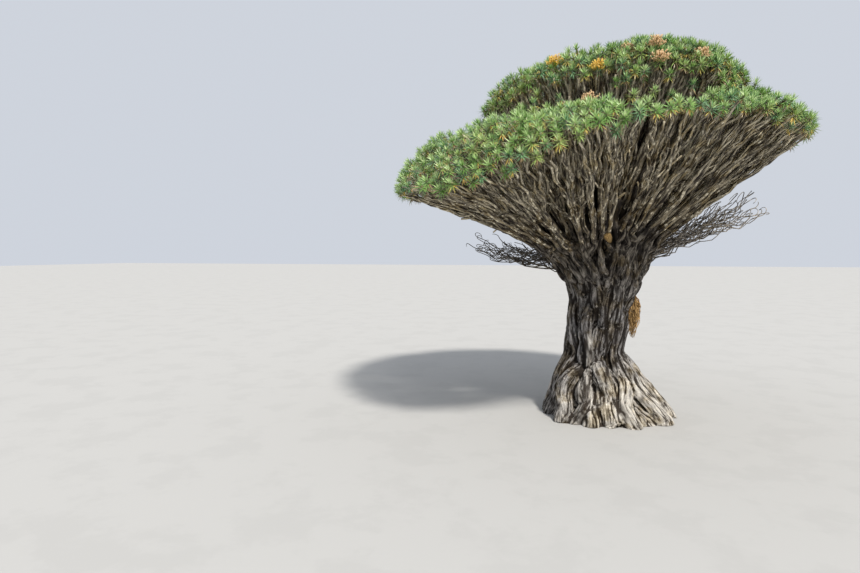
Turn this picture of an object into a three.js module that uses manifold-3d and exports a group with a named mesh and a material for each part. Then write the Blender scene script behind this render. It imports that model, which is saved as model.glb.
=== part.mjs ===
// An old dragon blood tree: a fluted trunk with a wide root flare, boughs that stand packed on the
// fork and fan out like a trumpet, and masses of forking twigs that carry rosettes of stiff leaves.
// Millimetres, Z up, origin at the middle of the flat cut at ground level. The face seen first is -Y.
import * as THREE from 'three';
import { mergeVertices } from 'three/addons/utils/BufferGeometryUtils.js';
import Module from 'manifold-3d';

const wasm = await Module();
wasm.setup();

// Driving sizes of the whole tree
const FORK_HEIGHT = 5500;
const FORK_CENTRE_X = 230;
const FORK_RADIUS = 1400;
const CROWN_CENTRE_HEIGHT = 6200;
const CROWN_TOP_REACH = 9950;
const CROWN_SIDE_REACH = 10380;
const CROWN_TOP_ANGLE = 35;
const CLEARANCE = 0.3;

// Crown: a shell of rosettes round the crown's centre, down to a rim that hangs lower on the left
// and is lifted on the right of the front
const RIM_ANGLE = 63.5;
const RIM_TILT = 6.5;
const RIM_LOW_AZIMUTH = 195;
const RIM_LIFT = 8;
const RIM_LIFT_AZIMUTH = 300;
const RIM_LIFT_WIDTH = 40;
const RIM_DROP = 5;
const RIM_DROP_AZIMUTH = 242;
const RIM_DROP_WIDTH = 20;
const RIM_SPREAD = 0.97;
const SHOULDER_SWELL = 400;
const SHOULDER_AZIMUTH = 15;
const SHOULDER_END_ANGLE = 70;
const TIER_ANGLE = 42;
const TIER_WIDTH = 8;
const TIER_DEPTH = 750;
const TIER_DEPTH_CHANGE = 600;
const TIER_DEEP_AZIMUTH = 235;
const CLUMP_DEPTH = 450;
const ROSETTE_COUNT = 150;
const ROSETTE_SCATTER = 0.35;
const CROWN_SEED = 11;

// Boughs
const BOUGH_COUNT = 24;
const BOUGH_TURN = 70;
const BOUGH_FAN = 0.94;
const BOUGH_OPEN = 1.1;
const BOUGH_SPREAD = 1180;
const BOUGH_BASE_RADIUS = 200;
const BOUGH_TIP_RADIUS = 160;
const BOUGH_REACH = 3600;
const BOUGH_LEAN = 0.65;
const BOUGH_RISE = 0.36;
const BOUGH_EASE = 0.34;
const BOUGH_SIDES = 6;
const BOUGH_STEPS = 5;

// Twigs and rosettes of a foliage mass
const TWIG_TIP_RADIUS = 58;
const TWIG_GROWTH = 0.44;
const TWIG_SIDES = 3;
const TWIG_BEND = 130;
const TWIG_BOB = 0.6;
const TWIG_SINK = 0.9;
const TWIG_CARRY = 0.35;
const STEM_STRAIGHT = 260;
const SPACE_GAP = 12;
const SPACE_ROOM = 380;
const SPACE_PASSES = 6;
const LEAF_LENGTH = 860;
const LEAF_SHORTEST = 0.45;
const LEAVES_AROUND = 5;
const CORE_RADIUS = 215;
const CORE_LOW = 110;
const CORE_HIGH = 270;
const CORE_TOP = 400;
const HEART_HEIGHT = (CORE_LOW + CORE_HIGH) / 2;
const LEAF_RISES = [68, 34, -4];
const ROSETTE_UPTURN = 0.7;

// Dry fruit sprays: every so many rosettes of the upper tier carries one
const FRUIT_EVERY = 14;
const FRUIT_LENGTH = 900;
const FRUIT_RADIUS = 170;
const FRUIT_BELLY = 0.62;
const FRUIT_SIDES = 4;

// Trunk
const TRUNK_HEIGHTS = [0, 400, 850, 1300, 1700, 1980, 2200, 2700, 3300, 4000, 4800, FORK_HEIGHT];
const TRUNK_SECTORS = 30;
const WAIST_HEIGHT = 3000;
const WAIST_RADIUS = 1250;
const WAIST_X = -90;
const FLUTES = [
  { count: 11, depth: 0.035, turn: 20 },
  { count: 7, depth: 0.03, turn: 65 },
];
const ROOT_FLARES = [
  { azimuth: 0, reach: 2300, top: 2750, power: 1 },
  { azimuth: 90, reach: 1150, top: 2500, power: 0.8 },
  { azimuth: 180, reach: 1000, top: 2700, power: 0.75 },
  { azimuth: 270, reach: 1400, top: 2150, power: 0.45 },
];

// Bare twigs that hang on the far side, and the tuft of aerial roots on the right of the trunk
const BARE_MASSES = [
  { name: 'bare_twigs_left', azimuth: 140, reach: 6900, seed: 31 },
  { name: 'bare_twigs_right', azimuth: 20, reach: 8000, seed: 47 },
];
const BARE_TIPS = 9;
const BARE_ROOT_HEIGHT = 4900;
const BARE_NEAR = 0.6;
const BARE_ARC = 40;
const BARE_HIGH_ANGLE = 3;
const BARE_LOW_ANGLE = 13;
const BARE_TIP_RADIUS = 34;
const BARE_BEND = 260;
const TUFT_AZIMUTH = 352;
const TUFT_TOP = 5350;
const TUFT_FOOT = 3400;
const TUFT_OUT = 1640;
const TUFT_ROOTS = 6;
const TUFT_RADIUS = 200;
const TUFT_BROW = 100;
const TUFT_BROW_RADIUS = 160;
const TUFT_GATHER = 0.55;
const TUFT_BULGE = 0.25;
const TUFT_RAGGED = 640;
const ROOT_RADIUS = 75;
const ROOT_TIP_RADIUS = 30;
const ROOT_SIDES = 4;
const SIDE_ROOT_DEPTH = 1000;

const MOSTLY_SIDEWAYS = 0.8;
const GOLDEN_ANGLE = Math.PI * (3 - Math.sqrt(5));
const UP = new THREE.Vector3(0, 0, 1);
const DOWN = new THREE.Vector3(0, 0, -1);
const CROWN_CENTRE = new THREE.Vector3(0, 0, CROWN_CENTRE_HEIGHT);

const bark = new THREE.MeshStandardMaterial({ color: 0x7b6d5f, roughness: 0.95, metalness: 0 });
const twigBark = new THREE.MeshStandardMaterial({ color: 0x8f8577, roughness: 0.9, metalness: 0 });
const leafGreen = new THREE.MeshStandardMaterial({ color: 0x5c7f5c, roughness: 0.6, metalness: 0 });
const rootBrown = new THREE.MeshStandardMaterial({ color: 0xa06a34, roughness: 0.95, metalness: 0 });

const tree = new THREE.Group();

function chance(number, seed) {
  const wave = Math.sin(number * 12.9898 + seed * 78.233) * 43758.5453;
  return wave - Math.floor(wave);
}

function signedChance(number, seed) {
  return 2 * chance(number, seed) - 1;
}

function radians(degrees) {
  return THREE.MathUtils.degToRad(degrees);
}

function around(azimuth, radius, height) {
  return new THREE.Vector3(radius * Math.cos(azimuth), radius * Math.sin(azimuth), height);
}

function addPart(name, geometry, material) {
  const mesh = new THREE.Mesh(geometry, material);
  mesh.name = name;
  tree.add(mesh);
}

function geometryFrom(points, faces) {
  const geometry = new THREE.BufferGeometry();
  const places = points.flatMap((point) => point.toArray());
  geometry.setAttribute('position', new THREE.Float32BufferAttribute(places, 3));
  geometry.setIndex(faces.flat());
  return geometry;
}

function solidFrom(geometry) {
  const merged = mergeVertices(geometry);
  const vertProperties = new Float32Array(merged.attributes.position.array);
  const triVerts = new Uint32Array(merged.index.array);
  return new wasm.Manifold(new wasm.Mesh({ numProp: 3, vertProperties, triVerts }));
}

function geometryOf(solid) {
  const mesh = solid.getMesh();
  const geometry = new THREE.BufferGeometry();
  geometry.setAttribute('position', new THREE.BufferAttribute(new Float32Array(mesh.vertProperties), 3));
  geometry.setIndex(new THREE.BufferAttribute(new Uint32Array(mesh.triVerts), 1));
  return geometry;
}

function joined(solids) {
  return solids.reduce((whole, solid) => whole.add(solid));
}

// The faces between rings that follow one another, with the first ring closed
function sleeveFaces(rings) {
  const count = rings[0].length;
  const faces = [];
  for (let side = 1; side + 1 < count; side += 1) faces.push([0, side + 1, side]);
  for (let ring = 0; ring + 1 < rings.length; ring += 1) {
    for (let side = 0; side < count; side += 1) {
      const here = ring * count + side;
      const next = ring * count + (side + 1) % count;
      faces.push([here, next, next + count], [here, next + count, here + count]);
    }
  }
  return faces;
}

// A closed skin over rings of points that follow one another
function skin(rings) {
  const count = rings[0].length;
  const last = (rings.length - 1) * count;
  const faces = sleeveFaces(rings);
  for (let side = 1; side + 1 < count; side += 1) faces.push([last, last + side, last + side + 1]);
  return geometryFrom(rings.flat(), faces);
}

// A ring of corners round a point, square to the way it faces
function ringAt(centre, facing, radius, sides, turn = 0) {
  const across = new THREE.Vector3(1, 0, 0);
  if (Math.abs(facing.x) > MOSTLY_SIDEWAYS) across.set(0, 1, 0);
  const first = across.addScaledVector(facing, -across.dot(facing)).normalize();
  const second = facing.clone().cross(first);
  const ring = [];
  for (let side = 0; side < sides; side += 1) {
    const angle = turn + 2 * Math.PI * side / sides;
    const spoke = first.clone().multiplyScalar(Math.cos(angle)).addScaledVector(second, Math.sin(angle));
    ring.push(centre.clone().addScaledVector(spoke, radius));
  }
  return ring;
}

// From 1 at an azimuth to 0 well away from it
function nearness(azimuth, middle, width) {
  const away = Math.acos(Math.cos(azimuth - radians(middle))) / radians(width);
  return Math.exp(-away * away);
}

// How far down the crown reaches on each side, as an angle from straight up
function rimAngle(azimuth) {
  const tilt = RIM_TILT * Math.cos(azimuth - radians(RIM_LOW_AZIMUTH));
  const lift = RIM_LIFT * nearness(azimuth, RIM_LIFT_AZIMUTH, RIM_LIFT_WIDTH);
  const drop = RIM_DROP * nearness(azimuth, RIM_DROP_AZIMUTH, RIM_DROP_WIDTH);
  return radians(RIM_ANGLE + tilt - lift + drop);
}

// Directions spread evenly over the crown by the golden angle, and scattered a little
function crownDirection(index, count, turn, spread, scatter) {
  const sway = scatter * signedChance(index, CROWN_SEED) * 2 / Math.sqrt(index + 1);
  const azimuth = index * GOLDEN_ANGLE + turn + sway;
  const share = (index + 0.5 + scatter * signedChance(index, CROWN_SEED + 1)) / count;
  const lowest = spread * rimAngle(azimuth);
  const angle = Math.acos(1 - share * (1 - Math.cos(lowest)));
  return { azimuth, angle, share, way: around(azimuth, Math.sin(angle), Math.cos(angle)) };
}

// Distance from the crown's centre to its leaf tips: a dome that is flatter on top and swells to
// the right, with a dip between its two tiers
function crownReach(azimuth, angle) {
  const side = Math.sin(Math.PI / 2 * Math.min(1, angle / radians(CROWN_TOP_ANGLE))) ** 2;
  const dome = THREE.MathUtils.lerp(CROWN_TOP_REACH, CROWN_SIDE_REACH, side);
  const down = Math.min(1, angle / radians(SHOULDER_END_ANGLE));
  const swell = SHOULDER_SWELL * Math.sin(Math.PI * down) * Math.cos(azimuth - radians(SHOULDER_AZIMUTH));
  const deep = TIER_DEPTH + TIER_DEPTH_CHANGE * Math.cos(azimuth - radians(TIER_DEEP_AZIMUTH));
  const fromTier = (angle - radians(TIER_ANGLE)) / radians(TIER_WIDTH);
  return dome + swell - deep * Math.exp(-fromTier * fromTier);
}

function boughPlan(index) {
  const plan = crownDirection(index, BOUGH_COUNT, radians(BOUGH_TURN), BOUGH_FAN, 0);
  const spread = BOUGH_SPREAD * Math.sqrt(plan.share);
  const foot = around(plan.azimuth, spread, FORK_HEIGHT + CLEARANCE);
  foot.x += FORK_CENTRE_X;
  const open = BOUGH_OPEN * plan.angle;
  const limb = around(plan.azimuth, Math.sin(open), Math.cos(open));
  const tip = CROWN_CENTRE.clone().addScaledVector(limb, BOUGH_REACH);
  const length = tip.distanceTo(foot);
  const lean = around(plan.azimuth, BOUGH_LEAN * Math.sqrt(plan.share), 1).normalize();
  const curve = new THREE.CubicBezierCurve3(
    foot,
    foot.clone().addScaledVector(lean, BOUGH_RISE * length),
    tip.clone().addScaledVector(limb, -BOUGH_EASE * length),
    tip,
  );
  return { ...plan, limb, tip, curve };
}

const plans = Array.from({ length: BOUGH_COUNT }, (_, index) => boughPlan(index));

// The walls of a mass's space: flat planes through the crown's centre, midway to each neighbour
function wallsOf(owner) {
  const others = plans.filter((plan) => plan !== owner);
  return others.map((plan) => owner.way.clone().sub(plan.way).normalize());
}

// A point pushed off the walls of its space until it has room on every side
function movedInside(point, walls, room) {
  const moved = point.clone();
  for (let pass = 0; pass < SPACE_PASSES; pass += 1) {
    for (const wall of walls) {
      const short = room - moved.clone().sub(CROWN_CENTRE).dot(wall);
      if (short > 0) moved.addScaledVector(wall, short);
    }
  }
  return moved;
}

// The rings of a tube of straight stretches through a line of points
function tubeRings(points, radii, sides) {
  const last = points.length - 1;
  return points.map((point, index) => {
    const way = points[Math.min(index + 1, last)].clone().sub(points[Math.max(index - 1, 0)]);
    return ringAt(point, way.normalize(), radii[index], sides);
  });
}

// Splits tips into two halves across their widest spread
function halves(tips) {
  const middle = new THREE.Vector3();
  tips.forEach((tip) => middle.add(tip.place));
  middle.divideScalar(tips.length);
  const far = tips.reduce((best, tip) => (
    tip.place.distanceTo(middle) > best.place.distanceTo(middle) ? tip : best));
  const split = far.place.clone().sub(middle);
  const ordered = [...tips].sort((a, b) => a.place.dot(split) - b.place.dot(split));
  const cut = Math.floor(tips.length / 2);
  return [ordered.slice(0, cut), ordered.slice(cut)];
}

// Starts a twig whose root is sunk in the one it leaves
function twigFrom(place, heading, radius) {
  return { points: [place.clone().addScaledVector(heading, -TWIG_SINK * radius)], radii: [radius] };
}

// Grows forking twigs to all the tips: at each fork the twig goes on into the larger half and a
// new one starts for the other, and each end is finished
function growTwigs(tips, twig, from, heading, form, pieces) {
  const left = Math.ceil(Math.log2(tips.length));
  const to = new THREE.Vector3();
  tips.forEach((tip) => to.add(tip.place));
  to.divideScalar(tips.length);
  const thin = form.tipRadius * tips.length ** TWIG_GROWTH;
  if (tips.length > 1) {
    const length = to.distanceTo(from) / (left + 1);
    to.sub(from).normalize().lerp(heading, TWIG_CARRY).setLength(length).add(from);
    const bend = form.bend * signedChance(tips[0].index, form.seed + left);
    to.addScaledVector(heading.clone().cross(UP).normalize(), bend);
    to.z += form.bend * TWIG_BOB * signedChance(tips[0].index, form.seed + left + 7);
  }
  twig.points.push(to);
  twig.radii.push(thin);
  const onward = to.clone().sub(from).normalize();
  if (tips.length === 1) {
    form.finish(tips[0], twig, onward, pieces);
    return;
  }
  const [fewer, more] = halves(tips);
  const sideRadius = form.tipRadius * fewer.length ** TWIG_GROWTH;
  growTwigs(more, twig, to, onward, form, pieces);
  growTwigs(fewer, twigFrom(to, onward, sideRadius), to, onward, form, pieces);
}

// A rosette of stiff leaves on the end of its twig. Its core has a lower and an upper ring of
// corners and a top corner, and each face of the core above the lower ring rises into a leaf.
function rosetteTwig(twig, axis, spin, walls) {
  const centre = twig.points[twig.points.length - 1];
  const rings = tubeRings(twig.points, twig.radii, TWIG_SIDES);
  const lowAt = rings.flat().length;
  const highAt = lowAt + LEAVES_AROUND;
  const points = [...rings.flat(), ...corePoints(centre, axis, spin)];
  const faces = sleeveFaces(rings);
  faces.push(...bridgeFaces(points, lowAt - TWIG_SIDES, TWIG_SIDES, lowAt, LEAVES_AROUND, axis, centre));
  const heart = centre.clone().addScaledVector(axis, HEART_HEIGHT);
  for (const { trio, rise } of leafSpots(lowAt, highAt)) {
    const out = new THREE.Vector3();
    trio.forEach((corner) => out.add(points[corner]));
    out.divideScalar(trio.length).sub(heart);
    out.addScaledVector(axis, -out.dot(axis)).setLength(Math.cos(radians(rise)));
    const leaf = out.addScaledVector(axis, Math.sin(radians(rise)));
    const length = leafLength(leaf, heart, walls);
    if (length < LEAF_SHORTEST * LEAF_LENGTH) {
      faces.push(trio);
      continue;
    }
    const tip = points.push(heart.clone().addScaledVector(leaf, length)) - 1;
    faces.push([trio[0], trio[1], tip], [trio[1], trio[2], tip], [trio[2], trio[0], tip]);
  }
  return geometryFrom(points, faces);
}

function corePoints(centre, axis, spin) {
  const [low, high, top] = [CORE_LOW, CORE_HIGH, CORE_TOP].map((height) => (
    centre.clone().addScaledVector(axis, height)));
  const lower = ringAt(low, axis, CORE_RADIUS, LEAVES_AROUND, spin);
  const upper = ringAt(high, axis, CORE_RADIUS, LEAVES_AROUND, spin + Math.PI / LEAVES_AROUND);
  return [...lower, ...upper, top];
}

// The core's faces that rise into leaves, in three rows from the top down
function leafSpots(lowAt, highAt) {
  const topAt = highAt + LEAVES_AROUND;
  const [steep, middling, flat] = LEAF_RISES;
  const spots = [];
  for (let side = 0; side < LEAVES_AROUND; side += 1) {
    const next = (side + 1) % LEAVES_AROUND;
    spots.push({ trio: [lowAt + side, lowAt + next, highAt + side], rise: flat });
    spots.push({ trio: [lowAt + next, highAt + next, highAt + side], rise: middling });
    spots.push({ trio: [highAt + side, highAt + next, topAt], rise: steep });
  }
  return spots;
}

// Faces from a ring of corners to the ring above it, which has more corners
function bridgeFaces(points, lowAt, lowCount, highAt, highCount, axis, centre) {
  const whole = 2 * Math.PI;
  const first = points[lowAt].clone().sub(centre);
  first.addScaledVector(axis, -first.dot(axis)).normalize();
  const second = axis.clone().cross(first);
  const turnOf = (point) => {
    const arm = point.clone().sub(centre);
    return (Math.atan2(arm.dot(second), arm.dot(first)) + whole) % whole;
  };
  const high = Array.from({ length: highCount }, (_, side) => highAt + side);
  high.sort((a, b) => turnOf(points[a]) - turnOf(points[b]));
  const turns = high.map((corner) => turnOf(points[corner]));
  const faces = [];
  let low = 0;
  let side = 0;
  while (low < lowCount || side < highCount) {
    const lowTurn = (low + 1) * whole / lowCount;
    const highTurn = side + 1 < highCount ? turns[side + 1] : turns[0] + whole;
    const lowFirst = low < lowCount && (side === highCount || lowTurn <= highTurn);
    const lowHere = lowAt + low % lowCount;
    if (lowFirst) {
      low += 1;
      faces.push([lowHere, lowAt + low % lowCount, high[side % highCount]]);
    } else {
      side += 1;
      faces.push([lowHere, high[side % highCount], high[side - 1]]);
    }
  }
  return faces;
}

// A leaf is drawn in until it ends inside its mass's space
function leafLength(way, from, walls) {
  const arm = from.clone().sub(CROWN_CENTRE);
  let length = LEAF_LENGTH;
  for (const wall of walls) {
    const closing = -way.dot(wall);
    if (closing > 0) length = Math.min(length, (arm.dot(wall) - SPACE_GAP) / closing);
  }
  return length;
}

function fruitSpray(centre, axis) {
  const low = centre.clone().addScaledVector(axis, CORE_LOW);
  const high = centre.clone().addScaledVector(axis, FRUIT_LENGTH);
  const belly = low.clone().lerp(high, FRUIT_BELLY);
  const ring = ringAt(belly, axis, FRUIT_RADIUS, FRUIT_SIDES);
  const points = [low, ...ring, high];
  const faces = [];
  for (let side = 0; side < FRUIT_SIDES; side += 1) {
    const here = side + 1;
    const next = (side + 1) % FRUIT_SIDES + 1;
    faces.push([0, next, here], [here, next, FRUIT_SIDES + 1]);
  }
  return geometryFrom(points, faces);
}

function crownTips() {
  const spaces = plans.map(wallsOf);
  const tips = plans.map(() => []);
  for (let index = 0; index < ROSETTE_COUNT; index += 1) {
    const spot = crownDirection(index, ROSETTE_COUNT, 0, RIM_SPREAD, ROSETTE_SCATTER);
    const nearness = plans.map((plan) => plan.way.dot(spot.way));
    const owner = nearness.indexOf(Math.max(...nearness));
    const clump = CLUMP_DEPTH * chance(owner, CROWN_SEED + 3) * chance(index, CROWN_SEED + 2);
    const reach = crownReach(spot.azimuth, spot.angle) - LEAF_LENGTH - HEART_HEIGHT - clump;
    const place = CROWN_CENTRE.clone().addScaledVector(spot.way, reach);
    tips[owner].push({ index, angle: spot.angle, place: movedInside(place, spaces[owner], SPACE_ROOM) });
  }
  return { spaces, tips };
}

function foliageMass(plan, walls, tips) {
  const from = plan.tip.clone().addScaledVector(plan.limb, CLEARANCE);
  const form = {
    tipRadius: TWIG_TIP_RADIUS,
    bend: TWIG_BEND,
    seed: CROWN_SEED,
    finish: (tip, twig, onward, pieces) => {
      const axis = onward.clone().addScaledVector(UP, ROSETTE_UPTURN).normalize();
      const spin = 2 * Math.PI * chance(tip.index, CROWN_SEED + 5);
      pieces.push(solidFrom(rosetteTwig(twig, axis, spin, walls)));
      if (tip.index % FRUIT_EVERY === 0 && tip.angle < radians(TIER_ANGLE)) {
        pieces.push(solidFrom(fruitSpray(tip.place, axis)));
      }
    },
  };
  const pieces = [];
  const radius = TWIG_TIP_RADIUS * tips.length ** TWIG_GROWTH;
  const clear = from.clone().addScaledVector(plan.limb, STEM_STRAIGHT);
  const stem = { points: [from, clear], radii: [radius, radius] };
  growTwigs(tips, stem, clear, plan.limb, form, pieces);
  return joined(pieces);
}

// A bough stands flat on the fork and its tip is square to the twigs that go on from it
function boughFacing(plan, step) {
  if (step === 0) return UP;
  if (step === BOUGH_STEPS) return plan.limb;
  return plan.curve.getTangent(step / BOUGH_STEPS);
}

function bough(plan) {
  const rings = [];
  for (let step = 0; step <= BOUGH_STEPS; step += 1) {
    const along = step / BOUGH_STEPS;
    const radius = THREE.MathUtils.lerp(BOUGH_BASE_RADIUS, BOUGH_TIP_RADIUS, along);
    const facing = boughFacing(plan, step);
    rings.push(ringAt(plan.curve.getPoint(along), facing, radius, BOUGH_SIDES, plan.azimuth));
  }
  return skin(rings);
}

// The trunk's radius on one side at one height: waist, root flares and flutes together
function trunkRadius(azimuth, height) {
  const above = Math.max(0, height - WAIST_HEIGHT) / (FORK_HEIGHT - WAIST_HEIGHT);
  let radius = THREE.MathUtils.lerp(WAIST_RADIUS, FORK_RADIUS, above);
  for (const flare of ROOT_FLARES) {
    const facing = Math.max(0, Math.cos(azimuth - radians(flare.azimuth)));
    const low = Math.max(0, 1 - height / flare.top);
    radius += flare.reach * low ** flare.power * facing * facing;
  }
  const flute = FLUTES.reduce((sum, wave) => (
    sum + wave.depth * Math.cos(wave.count * azimuth + radians(wave.turn))), 1);
  return radius * flute;
}

function trunkCentreX(height) {
  const above = Math.max(0, height - WAIST_HEIGHT) / (FORK_HEIGHT - WAIST_HEIGHT);
  return THREE.MathUtils.lerp(WAIST_X, FORK_CENTRE_X, above);
}

function trunk(swell) {
  const rings = TRUNK_HEIGHTS.map((height) => {
    const ring = [];
    for (let sector = 0; sector < TRUNK_SECTORS; sector += 1) {
      const azimuth = 2 * Math.PI * sector / TRUNK_SECTORS;
      const corner = around(azimuth, trunkRadius(azimuth, height) + swell, height);
      corner.x += trunkCentreX(height);
      ring.push(corner);
    }
    return ring;
  });
  return skin(rings);
}

// What grows out of the trunk's side is cut clear of it, and its largest piece is kept
function clearOfTrunk(solid) {
  const loose = solid.subtract(solidFrom(trunk(CLEARANCE))).decompose();
  return loose.reduce((best, piece) => (piece.volume() > best.volume() ? piece : best));
}

function bareTips(mass) {
  const tips = [];
  for (let index = 0; index < BARE_TIPS; index += 1) {
    const azimuth = radians(mass.azimuth + BARE_ARC * signedChance(index, mass.seed));
    const reach = mass.reach * THREE.MathUtils.lerp(BARE_NEAR, 1, chance(index, mass.seed + 1));
    const below = THREE.MathUtils.lerp(BARE_HIGH_ANGLE, BARE_LOW_ANGLE, chance(index, mass.seed + 2));
    const angle = rimAngle(azimuth) + radians(below);
    const way = around(azimuth, Math.sin(angle), Math.cos(angle));
    tips.push({ index, place: CROWN_CENTRE.clone().addScaledVector(way, reach) });
  }
  return tips;
}

function bareMass(mass) {
  const form = {
    tipRadius: BARE_TIP_RADIUS,
    bend: BARE_BEND,
    seed: mass.seed,
    finish: (tip, twig, onward, pieces) => {
      pieces.push(solidFrom(skin(tubeRings(twig.points, twig.radii, TWIG_SIDES))));
    },
  };
  const azimuth = radians(mass.azimuth);
  const out = around(azimuth, 1, 0);
  const root = around(azimuth, SIDE_ROOT_DEPTH, BARE_ROOT_HEIGHT);
  const stem = twigFrom(root, out, BARE_TIP_RADIUS * BARE_TIPS ** TWIG_GROWTH);
  const pieces = [];
  growTwigs(bareTips(mass), stem, root, out, form, pieces);
  return clearOfTrunk(joined(pieces));
}

// One root of the tuft: it swells out to the middle of its drop and ends in a thin tip
function hangingRoot(head, index) {
  const fromMiddle = TUFT_RADIUS * Math.sqrt((index + 0.3) / TUFT_ROOTS);
  const spot = around(index * GOLDEN_ANGLE, fromMiddle, 0);
  const top = head.clone().addScaledVector(spot, TUFT_GATHER);
  const foot = head.clone().add(spot);
  foot.z = TUFT_FOOT + TUFT_RAGGED * chance(index, CROWN_SEED + 9);
  const middle = top.clone().add(foot).divideScalar(2).addScaledVector(spot, TUFT_BULGE);
  return skin([
    ringAt(top, DOWN, ROOT_RADIUS, ROOT_SIDES),
    ringAt(middle, DOWN, ROOT_RADIUS, ROOT_SIDES),
    ringAt(foot, DOWN, ROOT_TIP_RADIUS, ROOT_SIDES),
  ]);
}

// A tuft of aerial roots that hangs beside the trunk from under its right-hand boughs
function aerialRoots() {
  const azimuth = radians(TUFT_AZIMUTH);
  const anchor = around(azimuth, SIDE_ROOT_DEPTH, TUFT_TOP);
  const head = around(azimuth, TUFT_OUT, TUFT_TOP - TUFT_RADIUS);
  const way = head.clone().sub(anchor).normalize();
  const brow = head.clone().addScaledVector(way, TUFT_BROW);
  const pieces = [solidFrom(skin([
    ringAt(anchor, way, TUFT_RADIUS, BOUGH_SIDES),
    ringAt(brow, way, TUFT_BROW_RADIUS, BOUGH_SIDES),
  ]))];
  for (let index = 0; index < TUFT_ROOTS; index += 1) pieces.push(solidFrom(hangingRoot(head, index)));
  return clearOfTrunk(joined(pieces));
}

function label(number) {
  return String(number + 1).padStart(2, '0');
}

addPart('trunk', trunk(0), bark);
plans.forEach((plan, index) => addPart(`bough_${label(index)}`, bough(plan), bark));
const { spaces, tips: tipSets } = crownTips();
plans.forEach((plan, index) => {
  const mass = foliageMass(plan, spaces[index], tipSets[index]);
  addPart(`foliage_${label(index)}`, geometryOf(mass), leafGreen);
});
BARE_MASSES.forEach((mass) => addPart(mass.name, geometryOf(bareMass(mass)), twigBark));
addPart('aerial_roots', geometryOf(aerialRoots()), rootBrown);

export default tree;
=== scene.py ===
# The looks of an old dragon blood tree, in metres: fused bark columns and boughs, forking twigs,
# rosettes of sword leaves, fruit sprays, bare hanging twigs and a tuft of aerial roots.
import math
from functools import lru_cache

import bmesh
import bpy
import numpy as np
from mathutils.kdtree import KDTree
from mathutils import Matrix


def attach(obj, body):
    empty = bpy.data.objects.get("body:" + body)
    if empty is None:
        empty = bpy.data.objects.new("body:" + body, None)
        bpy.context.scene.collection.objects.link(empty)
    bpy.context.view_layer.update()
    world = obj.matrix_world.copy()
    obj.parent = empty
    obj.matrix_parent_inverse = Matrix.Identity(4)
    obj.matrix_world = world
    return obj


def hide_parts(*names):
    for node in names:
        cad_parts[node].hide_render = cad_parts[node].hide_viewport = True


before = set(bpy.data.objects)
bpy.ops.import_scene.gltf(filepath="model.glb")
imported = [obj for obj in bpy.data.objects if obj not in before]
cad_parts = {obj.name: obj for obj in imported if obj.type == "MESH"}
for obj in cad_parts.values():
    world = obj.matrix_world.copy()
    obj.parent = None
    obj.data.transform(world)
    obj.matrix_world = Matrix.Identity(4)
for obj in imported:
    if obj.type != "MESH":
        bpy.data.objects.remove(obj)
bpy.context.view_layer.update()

bl_info = {
    "name": "Dragon blood tree",
    "version": (1, 0, 0),
    "blender": (4, 5, 0),
    "location": "3D View > Sidebar > Dragon tree",
    "description": "Grows the bark, twigs, leaves and fruit of an old dragon blood tree",
    "category": "Object",
}

# Driving sizes of the whole tree
FORK_HEIGHT = 5.5
FORK_CENTRE_X = 0.23
FORK_RADIUS = 1.4
CROWN_CENTRE = np.array([0.0, 0.0, 6.2])
CROWN_TOP_REACH = 9.95
CROWN_SIDE_REACH = 10.38
CROWN_TOP_ANGLE = math.radians(35)
CROWN_SEED = 11

# Crown: a shell of rosettes round the crown's centre, down to a rim that hangs lower on the left
# and is lifted on the right of the front
RIM_ANGLE = 63.5
RIM_TILT = 6.5
RIM_LOW_AZIMUTH = math.radians(195)
RIM_LIFT = 8
RIM_LIFT_AZIMUTH = math.radians(300)
RIM_LIFT_WIDTH = math.radians(40)
RIM_DROP = 5
RIM_DROP_AZIMUTH = math.radians(242)
RIM_DROP_WIDTH = math.radians(20)
RIM_SPREAD = 0.97
SHOULDER_SWELL = 0.4
SHOULDER_AZIMUTH = math.radians(15)
SHOULDER_END_ANGLE = math.radians(70)
TIER_ANGLE = math.radians(42)
TIER_WIDTH = math.radians(8)
TIER_DEPTH = 0.75
TIER_DEPTH_CHANGE = 0.6
TIER_DEEP_AZIMUTH = math.radians(235)
CLUMP_DEPTH = 0.45
SOURCE_ROSETTES = 150
ROSETTE_SCATTER = 0.35

# Boughs
BOUGH_COUNT = 24
BOUGH_TURN = math.radians(70)
BOUGH_FAN = 0.94
BOUGH_OPEN = 1.1
LEFT_RISE = 0.13
LEFT_RISE_AZIMUTH = math.radians(195)
LEFT_RISE_WIDTH = math.radians(42)
BOUGH_SPREAD = 1.18
BOUGH_BASE_RADIUS = 0.2
BOUGH_REACH = 3.6
BOUGH_LEAN = 0.65
BOUGH_RISE = 0.36
BOUGH_EASE = 0.34
LIMB_LINE_POINTS = 14
FORKED_LINE_POINTS = 12

# Twigs: the same forking rule as the solids', carried to finer ends
TWIG_BEND = 0.13
TWIG_BEND_SPAN = 1.2
TWIG_BOB = 0.6
TWIG_SINK = 0.9
TWIG_CARRY = 0.35
TWIG_EARLY = 0.72
TWIG_SIDES = 4
TWIG_STEPS = 2
TWIG_KNOB = 0.16
WAVE_STEP = 0.48
WAVE_SIZE = 0.085
LIMB_TIPS = 11
LIMB_LOWEST_FORK = 0.03
LIMB_HIGHEST_FORK = 0.62
LIMB_ROOT_RADIUS = 0.16
MAIN_ROOT_RADIUS = 0.24
LIMB_WAVE = 0.11
LIMB_SIDES = 8
LIMB_THINNEST = 0.8
LIMB_THICKEST = 1.25
LIMB_ROOT_DEPTH = 0.25
STRAND_ROOT_DEPTH = 1.1
LIMB_STEPS = 2
TIP_DEPTH = 0.55
THIN_RADIUS = 0.045
THICK_RADIUS = 0.12

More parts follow.
